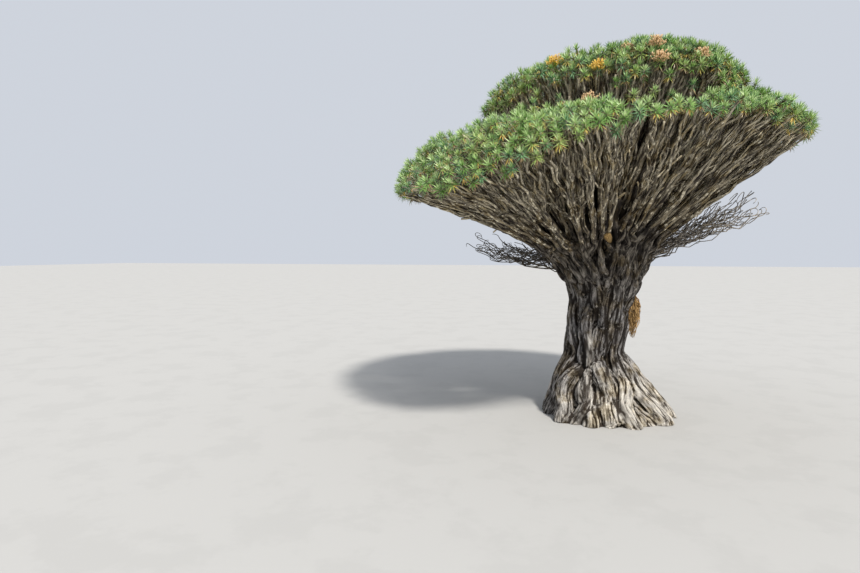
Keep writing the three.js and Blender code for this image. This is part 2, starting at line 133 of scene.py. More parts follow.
# Between its two tiers the crown's stems are bare, most widely on the right of the front
GAP_TOP = math.radians(35.5)
GAP_FOOT = math.radians(39)
GAP_FRONT = math.radians(14)
GAP_FRONT_AZIMUTH = math.radians(285)
GAP_FRONT_WIDTH = math.radians(22)
GAP_SWAY = math.radians(2.6)
GAP_LEAFY_SHARE = 0.18
GAP_STEM_SHARE = 0.7
GAP_STEM_DEPTH = 0.75
INNER_TIPS = 400
INNER_NEAR = 5.0
INNER_FAR = 8.2
CLUMP_FINENESS = 9.0
UPPER_OPEN = 0.11
LOWER_OPEN = 0.15
FRONT_OPEN = 0.17
FRONT_OPEN_AZIMUTH = math.radians(286)
FRONT_OPEN_WIDTH = math.radians(17)

# Fruit sprays: on the same rosettes as in the solids, and where the photograph shows more
FRUIT_EVERY = 14
ROSETTE_UPTURN = 0.7
FRUIT_LENGTH = 0.72
FRUIT_RADIUS = 0.22
FRUIT_BRANCHES = 24
FRUIT_BERRIES = 6
FRUIT_SEAT = 0.14
FRUIT_SMALLEST = 0.5
FRUIT_LARGEST = 0.66
FRUIT_STALK_RADII = (0.024, 0.018, 0.01)
FRUIT_BRANCH_RADII = (0.010, 0.011, 0.006)
BERRY_RADII = (0.010, 0.02)
BERRY_LENGTH = 0.05
BERRY_SCATTER = 0.07
FRUIT_EXTRA_SHARE = 0.002
GOLDEN_SEEN = [(270, 33)]
SPENT_SEEN = [(294, 35), (291, 31), (312, 32)]

# Trunk
WAIST_HEIGHT = 3.0
WAIST_RADIUS = 1.25
WAIST_X = -0.09
ROOT_FLARES = [
    {"azimuth": 0, "reach": 2.3, "top": 2.75, "power": 1, "wave": 0.06},
    {"azimuth": 90, "reach": 1.15, "top": 2.5, "power": 0.8, "wave": 0.1},
    {"azimuth": 180, "reach": 1.0, "top": 2.7, "power": 0.75, "wave": 0.08},
    {"azimuth": 270, "reach": 1.4, "top": 2.15, "power": 0.45, "wave": 0.17},
]
TRUNK_HOLLOWS = [
    {"azimuth": 238, "width": 8, "low": 1.5, "high": 3.9, "depth": 0.34},
    {"azimuth": 278, "width": 3.5, "low": 1.7, "high": 5.4, "depth": 0.34},
    {"azimuth": 301, "width": 3, "low": 2.5, "high": 5.2, "depth": 0.2},
    {"azimuth": 214, "width": 4, "low": 2.1, "high": 5.0, "depth": 0.24},
    {"azimuth": 255, "width": 3, "low": 3.4, "high": 5.8, "depth": 0.2},
    {"azimuth": 330, "width": 4, "low": 1.9, "high": 4.6, "depth": 0.22},
    {"azimuth": 20, "width": 5, "low": 1.6, "high": 4.8, "depth": 0.26},
    {"azimuth": 70, "width": 4, "low": 1.4, "high": 5.2, "depth": 0.28},
    {"azimuth": 118, "width": 6, "low": 1.7, "high": 4.4, "depth": 0.3},
    {"azimuth": 165, "width": 4, "low": 2.0, "high": 5.2, "depth": 0.24},
    {"azimuth": 251, "width": 5, "low": -0.3, "high": 2.3, "depth": 0.27},
    {"azimuth": 268, "width": 2.5, "low": -0.6, "high": 2.2, "depth": 0.24},
    {"azimuth": 290, "width": 2.5, "low": -0.6, "high": 1.9, "depth": 0.22},
    {"azimuth": 318, "width": 2.5, "low": -0.6, "high": 2.0, "depth": 0.24},
]
PLATE_AZIMUTH = math.radians(262)
PLATE_WIDTH = math.radians(8)
FAN_START = 5.2
FAN_OPEN = 0.27
FAN_POWER = 1.5
CORE_INSET = 0.3
CORE_DEEP_INSET = 0.6
CORE_SHOULDER = 5.6
CORE_TOP = 7.2
CORE_SECTORS = 120
CORE_RINGS = 64
COLUMN_TOP = 6.9
COLUMN_THIN_FROM = 5.6
COLUMN_STEPS = 30
COLUMN_SCATTER = 0.4
COLUMN_THINNEST = 0.65
COLUMN_THICKEST = 1.4
COLUMN_FOOT_HEIGHT = 2.2
COLUMN_FOOT_SWELL = 0.5
COLUMN_TOP_NARROWING = 0.55
COLUMN_TOP_SINK = 0.6
COLUMN_INSET = 0.8
STRAND_SHARE = 0.5
STRAND_OUTER = 0.45
STRAND_FOOT = 1.22
STRAND_LOWEST = 3.3
STRAND_LOW_SPAN = 1.3
STRAND_SINK = 0.45
COLUMN_SIDES = 10
FRONT_STEMS = [
    ([[0.3, -1.1, 4.4], [0.55, -1.5, 6.2], [0.6, -1.75, 8.2], [0.95, -2.5, 10.2]], 0.23, 0.09),
    ([[0.62, -1.6, 7.5], [0.8, -1.7, 8.4], [1.3, -1.9, 9.2], [1.9, -2.9, 10.9]], 0.15, 0.07),
    ([[-0.1, -1.1, 4.6], [0.05, -1.6, 6.4], [-0.1, -1.9, 8.0], [-0.5, -2.8, 10.2]], 0.2, 0.08),
    ([[0.8, -1.0, 4.5], [1.1, -1.5, 6.3], [1.4, -1.7, 7.9], [2.4, -2.4, 10.0]], 0.21, 0.08),
]
STUB_PLACE = np.array([0.37, -3.15, 7.93])
STUB_WAY = np.array([-0.05, -0.95, 0.12])
STUB_RADIUS = 0.13
STUB_SIDES = 14
STUB_RINGS = ((-0.9, 1.25), (-0.05, 1.05), (0.06, 0.97), (0.09, 0.78), (0.07, 0.3))
CUT_WOOD_DARK = (0.20, 0.12, 0.05)
CUT_WOOD_PALE = (0.48, 0.32, 0.12)
GROUND_OVERRUN = 0.12
# Painted shade: how strongly the bark's relief darkens its creases
FURROW_SHADE_CONTRAST = 28
FUSED_REACH = 2.0
UPPER_TONE = 0.65
UPPER_TONE_FROM = 4.6
UPPER_TONE_SPAN = 2.4
# The foot's bark, paler from bleaching and painted sunlit on its side towards the sun: its colours,
# the azimuth of that side, and the heights it spans
BLEACH_AND_SUN_COLOUR = (0.96, 0.90, 0.80)
BLEACH_AND_SUN_FURROW = (0.06, 0.048, 0.038)
SUNLIT_AZIMUTH = math.radians(325)
BLEACH_AND_SUN_FROM = 2.8
BLEACH_AND_SUN_TO = 1.5
FUSED_OVERLAP = 0.55
BARK_SWAY = 0.22
FURROW_FINENESS = 5.5
CRACK_FINENESS = 12
CRACK_SHARE = 0.4
FURROW_WALL = 2.4
RELIEF_LEVEL = 0.95
LUMP_SHARE = 1.1
SKIN_FINENESS = 0.8
SKIN_STRETCH = 0.1
LIMB_FINENESS = 1.7
LIMB_STRETCH = 0.2
LIMB_RELIEF = 0.2
# Painted shade: how much the bark is darkened inside the fan of boughs and in the trunk's deep
# folds
FAN_SHADE = 0.56
FOLD_SHADE = 0.72
FOLD_SHADE_RATE = 2.4

# Bare twigs that hang on the far side, and the tuft of aerial roots on the right of the trunk
BARE_MASSES = [
    {"name": "bare_twigs_left", "azimuth": 140, "reach": 6.9, "seed": 31, "tone": 0.55},
    {"name": "bare_twigs_right", "azimuth": 20, "reach": 8.0, "seed": 47, "tone": 1.05},
]
BARE_ROOT_HEIGHT = 5.5
BARE_ROOT_SPREAD = 1.8
BARE_NEAR = 0.5
BARE_ARC = 40
BARE_HIGH_ANGLE = 3
BARE_LOW_ANGLE = 13
BARE_BEND = 0.3
BARE_SAG = 0.4
BARE_CURL = 0.17
BARE_GROWTH = 0.42
BARE_EARLY = 0.8
BARE_WAVE = 0.17
BARE_WAVE_STEP = 0.46
SIDE_ROOT_DEPTH = 1.0
TUFT_AZIMUTH = math.radians(352)
TUFT_TOP = 5.55
TUFT_RISE = 0.4
TUFT_FOOT = 3.5
TUFT_OUT = 1.52
TUFT_RADIUS = 0.24
TUFT_RAGGED = 1.35
TUFT_STEPS = 11
TUFT_SHAPE = np.array([1.1, 1.3, 1.0])
TUFT_HEAD_SPREAD = 0.35
TUFT_HEAD_DEPTH = 0.5
TUFT_FOOT_SPREAD = 0.3
TUFT_WOBBLE = 0.03
SIDE_TUBE_SIDES = 5

# Leaves: where a leaf's pairs of edge points lie along it, how wide it is there, and its faces;
# how steeply the first and last leaves of a rosette stand and how far they stray, in degrees;
# how much leaves and rosettes vary; and which leaves have which colour, by the rosette's chance
# and by the leaf's rank in it
LEAF_STATIONS = np.array([0.0, 0.46])
LEAF_WIDTHS = np.array([0.8, 1.0])
LEAF_FACES = np.array([[0, 1, 3], [0, 3, 2], [2, 3, 4]])
LEAF_STEEPEST = 84
LEAF_LOWEST = -42
LEAF_STRAY = 9
LEAF_TWIST = 0.35
LEAF_SHORTEST = 0.85
LEAF_LONGEST = 1.08
LEAF_NARROWEST = 0.75
LEAF_WIDEST = 1.15
LEAF_DROOP = 0.25
ROSETTE_SMALLEST = 0.72
ROSETTE_LARGEST = 1.12
ROSETTE_DEPTH = 0.2
BLUE_UP_TO = 0.36
GREEN_UP_TO = 0.74
YELLOW_RANK = 0.76
YELLOW_SHARE = 0.42
DRY_RANK = 0.84
DRY_SHARE = 0.5

# Camera: the photograph's frame, its focal length in pixels of that frame, and where it stood
IMAGE_WIDTH = 860
SENSOR_WIDTH = 36.0
FOCAL_PIXELS = 600
CAMERA_PLACE = (0.0, -28.04, 7.3)
CAMERA_YAW = math.radians(15.6)
CAMERA_PITCH = math.radians(3.3)
SUN_AZIMUTH = math.radians(309)
SUN_HEIGHT = math.radians(49)
SUN_SPREAD = math.radians(7)
SUN_COLOUR = (1.0, 0.96, 0.9)
SKY_COLOUR = (0.86, 0.91, 1.0, 1.0)

# Shifts of the bark's pattern from tube to tube and from path to path, so that neighbours differ
TUBE_SHIFT = 0.37
PATH_SHIFT = 3.7

GOLDEN_ANGLE = math.pi * (3 - math.sqrt(5))
UP = np.array([0.0, 0.0, 1.0])
NEARLY_UP = UP + 1e-4
FOLIAGE_NODES = [f"foliage_{number:02d}" for number in range(1, BOUGH_COUNT + 1)]
BOUGH_NODES = [f"bough_{number:02d}" for number in range(1, BOUGH_COUNT + 1)]


# Sizes and colours that a user would change


def colour_setting(name, description, default):
    return bpy.props.FloatVectorProperty(
        name=name, description=description, default=default, subtype="COLOR", size=3, min=0, max=1
    )


class DragonTreeTrunk(bpy.types.PropertyGroup):
    columns: bpy.props.IntProperty(
        name="Columns", description="Fused columns around the trunk", default=17, min=6, max=40
    )
    column_radius: bpy.props.FloatProperty(
        name="Column radius", description="Thickness of a fused column at the waist",
        default=0.25, unit="LENGTH",
    )
    cell: bpy.props.FloatProperty(
        name="Bark cell", description="Size of the cells that the bark skin is made of",
        default=0.042, unit="LENGTH",
    )
    relief: bpy.props.FloatProperty(
        name="Relief", description="Depth of the bark's furrows", default=0.095, unit="LENGTH"
    )
    ridge_colour: colour_setting(
        name="Ridges", description="Colour of the bark's weathered ridges",
        default=(0.46, 0.44, 0.43),
    )
    # Also the colour of the painted shade in the trunk's creases, deep folds and fan
    furrow_and_shade_colour: colour_setting(
        name="Furrows", description="Colour of the bark's furrows",
        default=(0.026, 0.021, 0.018),
    )
    lichen_colour: colour_setting(
        name="Lichen", description="Colour of the ochre lichen on the boughs",
        default=(0.23, 0.17, 0.06),
    )
    # Painted sunflecks: spots of sunlight on the bark; on bare twigs also the colour of their thin
    # ends
    pale_and_sunfleck_colour: colour_setting(
        name="Flecks", description="Colour of the pale weathered skin",
        default=(0.66, 0.60, 0.52),
    )
    limb_colour: colour_setting(
        name="Limbs", description="Browner colour of the ridges on thin limbs",
        default=(0.40, 0.315, 0.185),
    )
    twig_colour: colour_setting(
        name="Twig bark", description="Colour of the twigs' bark",
        default=(0.25, 0.185, 0.10),
    )
    # Painted sunflecks on the twigs, and the paler colour of the thinnest twigs
    twig_pale_and_sunfleck_colour: colour_setting(
        name="Twig flecks", description="Colour of the flecks that shine on the twigs",
        default=(0.92, 0.83, 0.63),
    )


class DragonTreeCrown(bpy.types.PropertyGroup):
    rosettes: bpy.props.IntProperty(
        name="Rosettes", description="Rosettes of leaves in the crown", default=2300, min=200
    )
    leaves: bpy.props.IntProperty(
        name="Leaves", description="Leaves in each rosette", default=46, min=8
    )
    leaf_length: bpy.props.FloatProperty(
        name="Leaf length", description="Length of a full leaf", default=0.34, unit="LENGTH"
    )
    leaf_width: bpy.props.FloatProperty(
        name="Leaf width", description="Widest part of a leaf", default=0.038, unit="LENGTH"
    )
    twig_radius: bpy.props.FloatProperty(
        name="Twig radius", description="Radius of the last twig, under its rosette",
        default=0.04, unit="LENGTH",
    )
    twig_growth: bpy.props.FloatProperty(
        name="Twig growth", description="How fast a twig thickens with the rosettes it carries",
        default=0.4,
    )


class DragonTreeLeafColours(bpy.types.PropertyGroup):
    # The youngest leaves, paler, with a painted highlight on the upright heart of each rosette
    young_highlit: colour_setting(
        name="Young", description="Upright leaves in the heart of a rosette",
        default=(0.35, 0.51, 0.19),
    )
    blue: colour_setting(
        name="Blue-green", description="Waxy full-grown leaves",
        default=(0.13, 0.28, 0.12),
    )
    green: colour_setting(
        name="Green", description="Full-grown leaves",
        default=(0.16, 0.32, 0.07),
    )
    olive: colour_setting(
        name="Olive", description="Paler full-grown leaves",
        default=(0.29, 0.40, 0.11),
    )
    yellow: colour_setting(
        name="Yellow", description="Ageing lower leaves",
        default=(0.58, 0.48, 0.13),
    )
    dry: colour_setting(
        name="Dry", description="Dead leaves that hang under a rosette",
        default=(0.38, 0.27, 0.13),
    )
    fruit: colour_setting(
        name="Fruit", description="Golden fruit sprays",
        default=(0.80, 0.53, 0.10),
    )
    spent: colour_setting(
        name="Spent sprays", description="Old sprays that have lost their fruit",
        default=(0.66, 0.45, 0.24),
    )


class DragonTreeSides(bpy.types.PropertyGroup):
    bare_tips: bpy.props.IntProperty(
        name="Bare tips", description="Ends of each hanging mass of bare twigs", default=110, min=4
    )
    bare_radius: bpy.props.FloatProperty(
        name="Bare twig radius", description="Radius of a bare twig's end",
        default=0.017, unit="LENGTH",
    )
    roots: bpy.props.IntProperty(
        name="Aerial roots", description="Threads in the tuft of aerial roots", default=190, min=6
    )
    root_radius: bpy.props.FloatProperty(
        name="Root radius", description="Radius of a hanging root", default=0.016, unit="LENGTH"
    )
    root_colour: colour_setting(
        name="Root colour", description="Colour of the aerial roots",
        default=(0.40, 0.20, 0.07),
    )
    # Paler thin roots, and the painted sunflecks on the tuft
    root_tip_and_sunfleck_colour: colour_setting(
        name="Root tips", description="Paler colour of thin roots",
        default=(0.80, 0.52, 0.22),
    )


class DragonTreeStage(bpy.types.PropertyGroup):
    floor_colour: colour_setting(
        name="Floor", description="Colour of the plain floor",
        default=(0.46, 0.455, 0.44),
    )
    floor_size: bpy.props.FloatProperty(
        name="Floor size", description="Side of the square floor", default=600, unit="LENGTH"
    )
    sun_strength: bpy.props.FloatProperty(
        name="Sun", description="Strength of the main light", default=4.1
    )
    sky_strength: bpy.props.FloatProperty(
        name="Sky", description="Strength of the even light from all round", default=0.72
    )


# Chance, directions and small vector helpers


def chance(number, seed):
    wave = np.sin(np.asarray(number) * 12.9898 + seed * 78.233) * 43758.5453
    return wave - np.floor(wave)


def signed_chance(number, seed):
    return 2 * chance(number, seed) - 1


def around(azimuth, radius, height):
    parts = np.broadcast_arrays(radius * np.cos(azimuth), radius * np.sin(azimuth), height)
    return np.stack(parts, axis=-1).astype(float)


def unit(vectors):
    length = np.linalg.norm(vectors, axis=-1, keepdims=True)
    return vectors / np.maximum(length, 1e-9)


def square_to(way, reference):
    """Two directions square to a way and to each other, the first also square to a reference."""
    side = unit(np.cross(way, reference))
    return side, np.cross(way, side)


def mix(low, high, share):
    return low + (high - low) * share


def smoothed(share):
    return share * share * (3 - 2 * share)


def soft_noise(points, seed):
    """Smooth noise from 0 to 1 at each point, from chances dealt to the corners of unit cells."""
    cell = np.floor(points)
    inside = smoothed(points - cell)
    total = np.zeros(len(points))
    for corner in np.ndindex(2, 2, 2):
        spot = cell + corner
        code = spot @ np.array([1.0, 57.31, 113.17])
        weight = np.prod(np.where(corner, inside, 1 - inside), axis=1)
        total += weight * chance(code, seed)
    return total


# The crown's rule, as in the solids


def nearness(azimuth, middle, width):
    """From 1 at an azimuth to 0 well away from it."""
    away = np.arccos(np.cos(azimuth - middle)) / width
    return np.exp(-away * away)


def rim_angle(azimuth):
    tilt = RIM_TILT * np.cos(azimuth - RIM_LOW_AZIMUTH)
    lift = RIM_LIFT * nearness(azimuth, RIM_LIFT_AZIMUTH, RIM_LIFT_WIDTH)
    drop = RIM_DROP * nearness(azimuth, RIM_DROP_AZIMUTH, RIM_DROP_WIDTH)
    return np.radians(RIM_ANGLE + tilt - lift + drop)


def crown_directions(count, turn, spread, scatter):
    """Directions spread evenly over the crown by the golden angle, and scattered a little."""
    index = np.arange(count)
    sway = scatter * signed_chance(index, CROWN_SEED) * 2 / np.sqrt(index + 1)
    azimuth = index * GOLDEN_ANGLE + turn + sway
    share = (index + 0.5 + scatter * signed_chance(index, CROWN_SEED + 1)) / count
    lowest = spread * rim_angle(azimuth)
    angle = np.arccos(1 - share * (1 - np.cos(lowest)))
    return azimuth, angle, share, around(azimuth, np.sin(angle), np.cos(angle))


def crown_reach(azimuth, angle):
    """Distance from the crown's centre to its leaf tips, with a dip between its two tiers."""
    side = np.sin(math.pi / 2 * np.minimum(1, angle / CROWN_TOP_ANGLE)) ** 2
    dome = mix(CROWN_TOP_REACH, CROWN_SIDE_REACH, side)
    down = np.minimum(1, angle / SHOULDER_END_ANGLE)
    swell = SHOULDER_SWELL * np.sin(math.pi * down) * np.cos(azimuth - SHOULDER_AZIMUTH)
    deep = TIER_DEPTH + TIER_DEPTH_CHANGE * np.cos(azimuth - TIER_DEEP_AZIMUTH)
    from_tier = (angle - TIER_ANGLE) / TIER_WIDTH
    return dome + swell - deep * np.exp(-from_tier * from_tier)


def limb_end(azimuth, angle):
    """A limb's heading at its end, and the end. On the left, limbs rise more, as the fan does."""
    left = nearness(azimuth, LEFT_RISE_AZIMUTH, LEFT_RISE_WIDTH)
    opening = BOUGH_OPEN * angle * (1 - LEFT_RISE * left)
    limb = around(azimuth, math.sin(opening), math.cos(opening))
    return limb, CROWN_CENTRE + limb * BOUGH_REACH


def limb_curve(foot, lean, limb, tip, shares):
    """A limb's smooth curve, which sets out along its lean and comes in along its heading."""
    length = np.linalg.norm(tip - foot)
    second = foot + lean * BOUGH_RISE * length
    third = tip - limb * BOUGH_EASE * length
    return bezier(foot, second, third, tip, shares)


class Bough:
    """One bough's plan: a smooth curve from its foot on the fork to the mass that it carries."""

    def __init__(self, azimuth, angle, share, way):
        self.azimuth = azimuth
        self.share = share
        self.way = way
        self.foot = around(azimuth, BOUGH_SPREAD * math.sqrt(share), FORK_HEIGHT)
        self.foot[0] += FORK_CENTRE_X
        self.limb, self.tip = limb_end(azimuth, angle)
        self.lean = unit(around(azimuth, BOUGH_LEAN * math.sqrt(share), 1.0))

    def points(self, shares):
        return limb_curve(self.foot, self.lean, self.limb, self.tip, shares)


@lru_cache(maxsize=1)
def bough_plans():
    plans = crown_directions(BOUGH_COUNT, BOUGH_TURN, BOUGH_FAN, 0)
    return [Bough(*values) for values in zip(*plans)]


def halves(places, numbers):
    """Splits tips into two halves across their widest spread."""
    from_middle = places - places.mean(axis=0)
    split = from_middle[np.argmax(np.linalg.norm(from_middle, axis=1))]
    order = np.argsort(places @ split, kind="stable")
    cut = len(order) // 2
    return [(places[part], numbers[part]) for part in (order[:cut], order[cut:])]


def add_stretch(path, start, goal, radius, form, number):
    """Carries a twig's path on to its next fork or its end in uneven waves and knobs."""
    steps = max(1, round(np.linalg.norm(goal - start) / form["wave_step"]))
    side, other = square_to(unit(goal - start), NEARLY_UP)
    last = path["radii"][-1]
    turn = 2 * math.pi * chance(number, form["seed"] + 39)
    for step in range(1, steps):
        code = number * 13 + step
        turn += 2.2 + 1.6 * chance(code, form["seed"] + 41)
        size = form["wave"] * (0.45 + 0.75 * chance(code, form["seed"] + 43))
        sway = side * math.cos(turn) + other * math.sin(turn)
        knob = 1 + TWIG_KNOB * signed_chance(code, form["seed"] + 45)
        path["points"].append(mix(start, goal, step / steps) + sway * size)
        path["radii"].append(mix(last, radius, step / steps) * knob)
    path["points"].append(goal)
    path["radii"].append(radius)


def grow_twigs(places, numbers, path, start, heading, form, ended):
    """Grows forking twigs to all the tips: at each fork the twig goes on into the larger half
    and a new one starts for the other. Each finished path is added to ended."""
    count = len(numbers)
    levels = math.ceil(math.log2(count))
    goal = places.mean(axis=0)
    if count > 1:
        span = form["early"] * np.linalg.norm(goal - start) / (levels + 1)
        way = unit(mix(unit(goal - start), heading, TWIG_CARRY))
        bend = form["bend"] * min(1.0, span / TWIG_BEND_SPAN)
        goal = start + way * span
        swing = signed_chance(numbers[0], form["seed"] + levels)
        goal += unit(np.cross(heading, UP)) * bend * swing
        goal[2] += bend * TWIG_BOB * signed_chance(numbers[0], form["seed"] + levels + 7)
    add_stretch(path, start, goal, form["radius"] * count ** form["growth"], form, numbers[0])
    onward = unit(goal - start)
    if count == 1:
        ended.append({**path, "number": int(numbers[0]), "onward": onward, "place": goal})
        return
    fewer, more = halves(places, numbers)
    side_radius = form["radius"] * len(fewer[1]) ** form["growth"]
    side = {"points": [goal - onward * TWIG_SINK * side_radius], "radii": [side_radius]}
    grow_twigs(*more, path, goal, onward, form, ended)
    grow_twigs(*fewer, side, goal, onward, form, ended)


def tip_groups(places, numbers):
    """Splits a mass's tips in halves until a limb carries few enough of them."""
    if len(numbers) <= LIMB_TIPS:
        return [(places, numbers)]
    return [group for half in halves(places, numbers) for group in tip_groups(*half)]


def bezier(foot, second, third, tip, shares):
    share = np.asarray(shares, float)[:, None]
    rest = 1 - share
    return (
        rest**3 * foot + 3 * rest**2 * share * second + 3 * rest * share**2 * third + share**3 * tip
    )


def bough_limbs(plan, index, places, numbers):
    """The limbs that a bough forks into low down: for each its line, end, heading and tips."""
    groups = tip_groups(places, numbers)
    ways = [unit(group[0].mean(axis=0) - CROWN_CENTRE) for group in groups]
    main = int(np.argmax([way @ plan.way for way in ways]))
    for number, (way, group) in enumerate(zip(ways, groups)):
        if number == main:
            line = plan.points(np.linspace(0, 1, LIMB_LINE_POINTS))
            yield line, plan.tip, plan.limb, group, MAIN_ROOT_RADIUS
            continue
        flat = math.hypot(way[0], way[1])
        azimuth, angle = math.atan2(way[1], way[0]), math.atan2(flat, way[2])
        if chance(index * 9 + number, 23) < STRAND_SHARE:
            share = (1 - math.cos(angle)) / (1 - math.cos(float(rim_angle(azimuth))))
            own = Bough(azimuth, angle, min(1.0, share), way)
            line = strand_points(own, index * 9 + number)
            yield line, own.tip, own.limb, group, BOUGH_BASE_RADIUS
            continue
        fork = mix(LIMB_LOWEST_FORK, LIMB_HIGHEST_FORK, chance(index * 9 + number, 19))
        foot, ahead = plan.points([fork, fork + 0.05])
        limb, tip = limb_end(azimuth, angle)
        shares = np.linspace(0, 1, FORKED_LINE_POINTS)
        line = limb_curve(foot, unit(ahead - foot), limb, tip, shares)
        yield line, tip, limb, group, LIMB_ROOT_RADIUS


def strand_points(own, number):
    """A limb with a foot of its own on the fork. An outer one starts as a strand down the
    trunk's side, where it comes out of the bark."""
    shares = np.linspace(0, 1, LIMB_LINE_POINTS)
    limb = own.points(shares)
    if own.share < STRAND_OUTER:
        return limb
    lowest = STRAND_LOWEST + STRAND_LOW_SPAN * chance(number, 31)
    heights = np.arange(lowest, FORK_HEIGHT - 0.1, 0.25)
    rise = np.clip((heights - lowest) / (FORK_HEIGHT - lowest), 0, 1)
    azimuth = own.azimuth + 0.12 * (1 - rise) * np.sin(2.4 * heights + number)
    inset = mix(STRAND_SINK, trunk_radius(own.azimuth, FORK_HEIGHT) - STRAND_FOOT, smoothed(rise))
    low = trunk_place(azimuth, heights, inset)
    out = np.hypot(own.foot[0] - FORK_CENTRE_X, own.foot[1])
    outward = around(own.azimuth, STRAND_FOOT, 0) - around(own.azimuth, out, 0)
    return np.vstack([low, limb + outward * (1 - shares[:, None])])


def gap_foot(azimuth):
    """How far down the bare stems between the crown's tiers show."""
    return GAP_FOOT + GAP_FRONT * nearness(azimuth, GAP_FRONT_AZIMUTH, GAP_FRONT_WIDTH)


def crown_tips(rosettes, leaf_length):
    """Where the crown's twigs end, and which of them carry a rosette. A tip that falls in the
    gap between the tiers is a bare stem that ends under the upper tier's edge, or is left out."""
    azimuth, angle, _, _ = crown_directions(rosettes, 0.0, RIM_SPREAD, ROSETTE_SCATTER)
    within = crown_directions(INNER_TIPS, 1.0, RIM_SPREAD, ROSETTE_SCATTER)
    azimuth, angle = np.append(azimuth, within[0]), np.append(angle, within[1])
    number = np.arange(rosettes + INNER_TIPS)
    inner = number >= rosettes
    ragged = angle + GAP_SWAY * signed_chance(number, CROWN_SEED + 6)
    clumps = soft_noise(around(azimuth, np.sin(angle), np.cos(angle)) * CLUMP_FINENESS + 20, 27)
    lower_open = LOWER_OPEN + FRONT_OPEN * nearness(azimuth, FRONT_OPEN_AZIMUTH, FRONT_OPEN_WIDTH)
    open_patch = clumps < np.where(angle > GAP_TOP, lower_open, UPPER_OPEN)
    gap = (ragged > GAP_TOP) & (ragged < gap_foot(azimuth)) & ~inner
    bare = gap & (chance(number, CROWN_SEED + 7) >= GAP_LEAFY_SHARE)
    stem = bare & (chance(number, CROWN_SEED + 8) < GAP_STEM_SHARE)
    under_edge = GAP_TOP * mix(0.8, 1.0, chance(number, CROWN_SEED + 9))
    angle = np.where(bare, under_edge, angle)
    way = around(azimuth, np.sin(angle), np.cos(angle))
    owner = np.argmax(way @ np.array([plan.way for plan in bough_plans()]).T, axis=1)
    depth = CLUMP_DEPTH * chance(owner, CROWN_SEED + 3) * chance(number, CROWN_SEED + 2)
    depth = depth + TIP_DEPTH * chance(number, CROWN_SEED + 4) ** 2
    depth = depth + np.where(bare, GAP_STEM_DEPTH, 0)
    reach = crown_reach(azimuth, angle) - leaf_length - depth
    inner_reach = mix(INNER_NEAR, INNER_FAR, chance(number, CROWN_SEED + 10))
    place = CROWN_CENTRE + way * np.where(inner, inner_reach, reach)[:, None]
    return number, place, owner, (~bare | stem) & (~open_patch | inner), bare | inner


@lru_cache(maxsize=2)
def crown_growth(rosettes, leaf_length, twig_radius, twig_growth):
    """All the crown's twig paths, each with the place and heading of its end, and all its limbs."""
    number, place, owner, kept, bare = crown_tips(rosettes, leaf_length)
    form = {
        "radius": twig_radius, "growth": twig_growth, "bend": TWIG_BEND, "seed": CROWN_SEED,
        "early": TWIG_EARLY, "wave": WAVE_SIZE, "wave_step": WAVE_STEP,
    }
    ended, limbs = [], []
    for index, plan in enumerate(bough_plans()):
        own = np.flatnonzero((owner == index) & kept)
        for line, tip, way, group, root in bough_limbs(plan, index, place[own], number[own]):
            radius = twig_radius * len(group[1]) ** twig_growth
            stem = {"points": [tip - way * 0.3, tip], "radii": [radius, radius]}
            grow_twigs(*group, stem, tip, way, form, ended)
            limbs.append((line, root, radius))
    for path in ended:
        path["leafy"] = not bare[path["number"]]
    return ended, limbs


def front_stems():
    """Stout pale stems that stand up in the middle of the fan, as limbs."""
    return [
        (bezier(*np.array(points), np.linspace(0, 1, LIMB_LINE_POINTS)), root, end)
        for points, root, end in FRONT_STEMS
    ]


# Making meshes


def add_object(name, data):
    made = bpy.data.objects.new(name, data)
    bpy.context.scene.collection.objects.link(made)
    return made


def ring_faces(rings, sides, start=0):
    """The quads between rings of points and the two end faces, with points numbered from start."""
    side = np.arange(sides)
    low = start + np.arange(rings - 1)[:, None] * sides
    here, there = low + side, low + (side + 1) % sides
    quads = np.stack([here, there, there + sides, here + sides], axis=-1)
    return quads.reshape(-1, 4), np.array([start + side[::-1], start + (rings - 1) * sides + side])


def mesh_object(name, points, faces, material, **marks):
    """A smooth mesh from points and blocks of faces, where each block has its own corner count.
    Each mark is a value or a vector for each point, for the material to read."""
    mesh = bpy.data.meshes.new(name)
    corners = np.concatenate([np.ravel(block) for block in faces]).astype(np.int32)
    sizes = np.concatenate([np.full(len(block), block.shape[1]) for block in faces])
    mesh.vertices.add(len(points))
    mesh.vertices.foreach_set("co", np.ravel(points).astype(np.float32))
    mesh.loops.add(len(corners))
    mesh.loops.foreach_set("vertex_index", corners)
    mesh.polygons.add(len(sizes))
    mesh.polygons.foreach_set("loop_start", (np.cumsum(sizes) - sizes).astype(np.int32))
    mesh.update(calc_edges=True)
    mesh.shade_smooth()
    for label, values in marks.items():
        kind, field = ("FLOAT_VECTOR", "vector") if values.ndim == 2 else ("FLOAT", "value")
        mark = mesh.attributes.new(label, kind, "POINT")
        mark.data.foreach_set(field, np.ravel(values).astype(np.float32))
    mesh.materials.append(material)
    return add_object(name, mesh)


def smooth_path(points, radii, steps):
    """A smooth curve through the points, with steps to each stretch, and its radii."""
    points = np.asarray(points)
    radii = np.asarray(radii)
    padded = np.vstack([2 * points[0] - points[1], points, 2 * points[-1] - points[-2]])
    share = np.arange(steps)[None, :, None] / steps
    before, here, there, after = (padded[i : len(padded) - 3 + i, None] for i in range(4))
    curve = 0.5 * (
        2 * here
        + (there - before) * share
        + (2 * before - 5 * here + 4 * there - after) * share**2
        + (3 * here - before - 3 * there + after) * share**3
    )
    thick = mix(radii[:-1, None], radii[1:, None], share[..., 0])
    line = np.vstack([curve.reshape(-1, 3), points[-1]])
    return line, np.append(thick.ravel(), radii[-1])


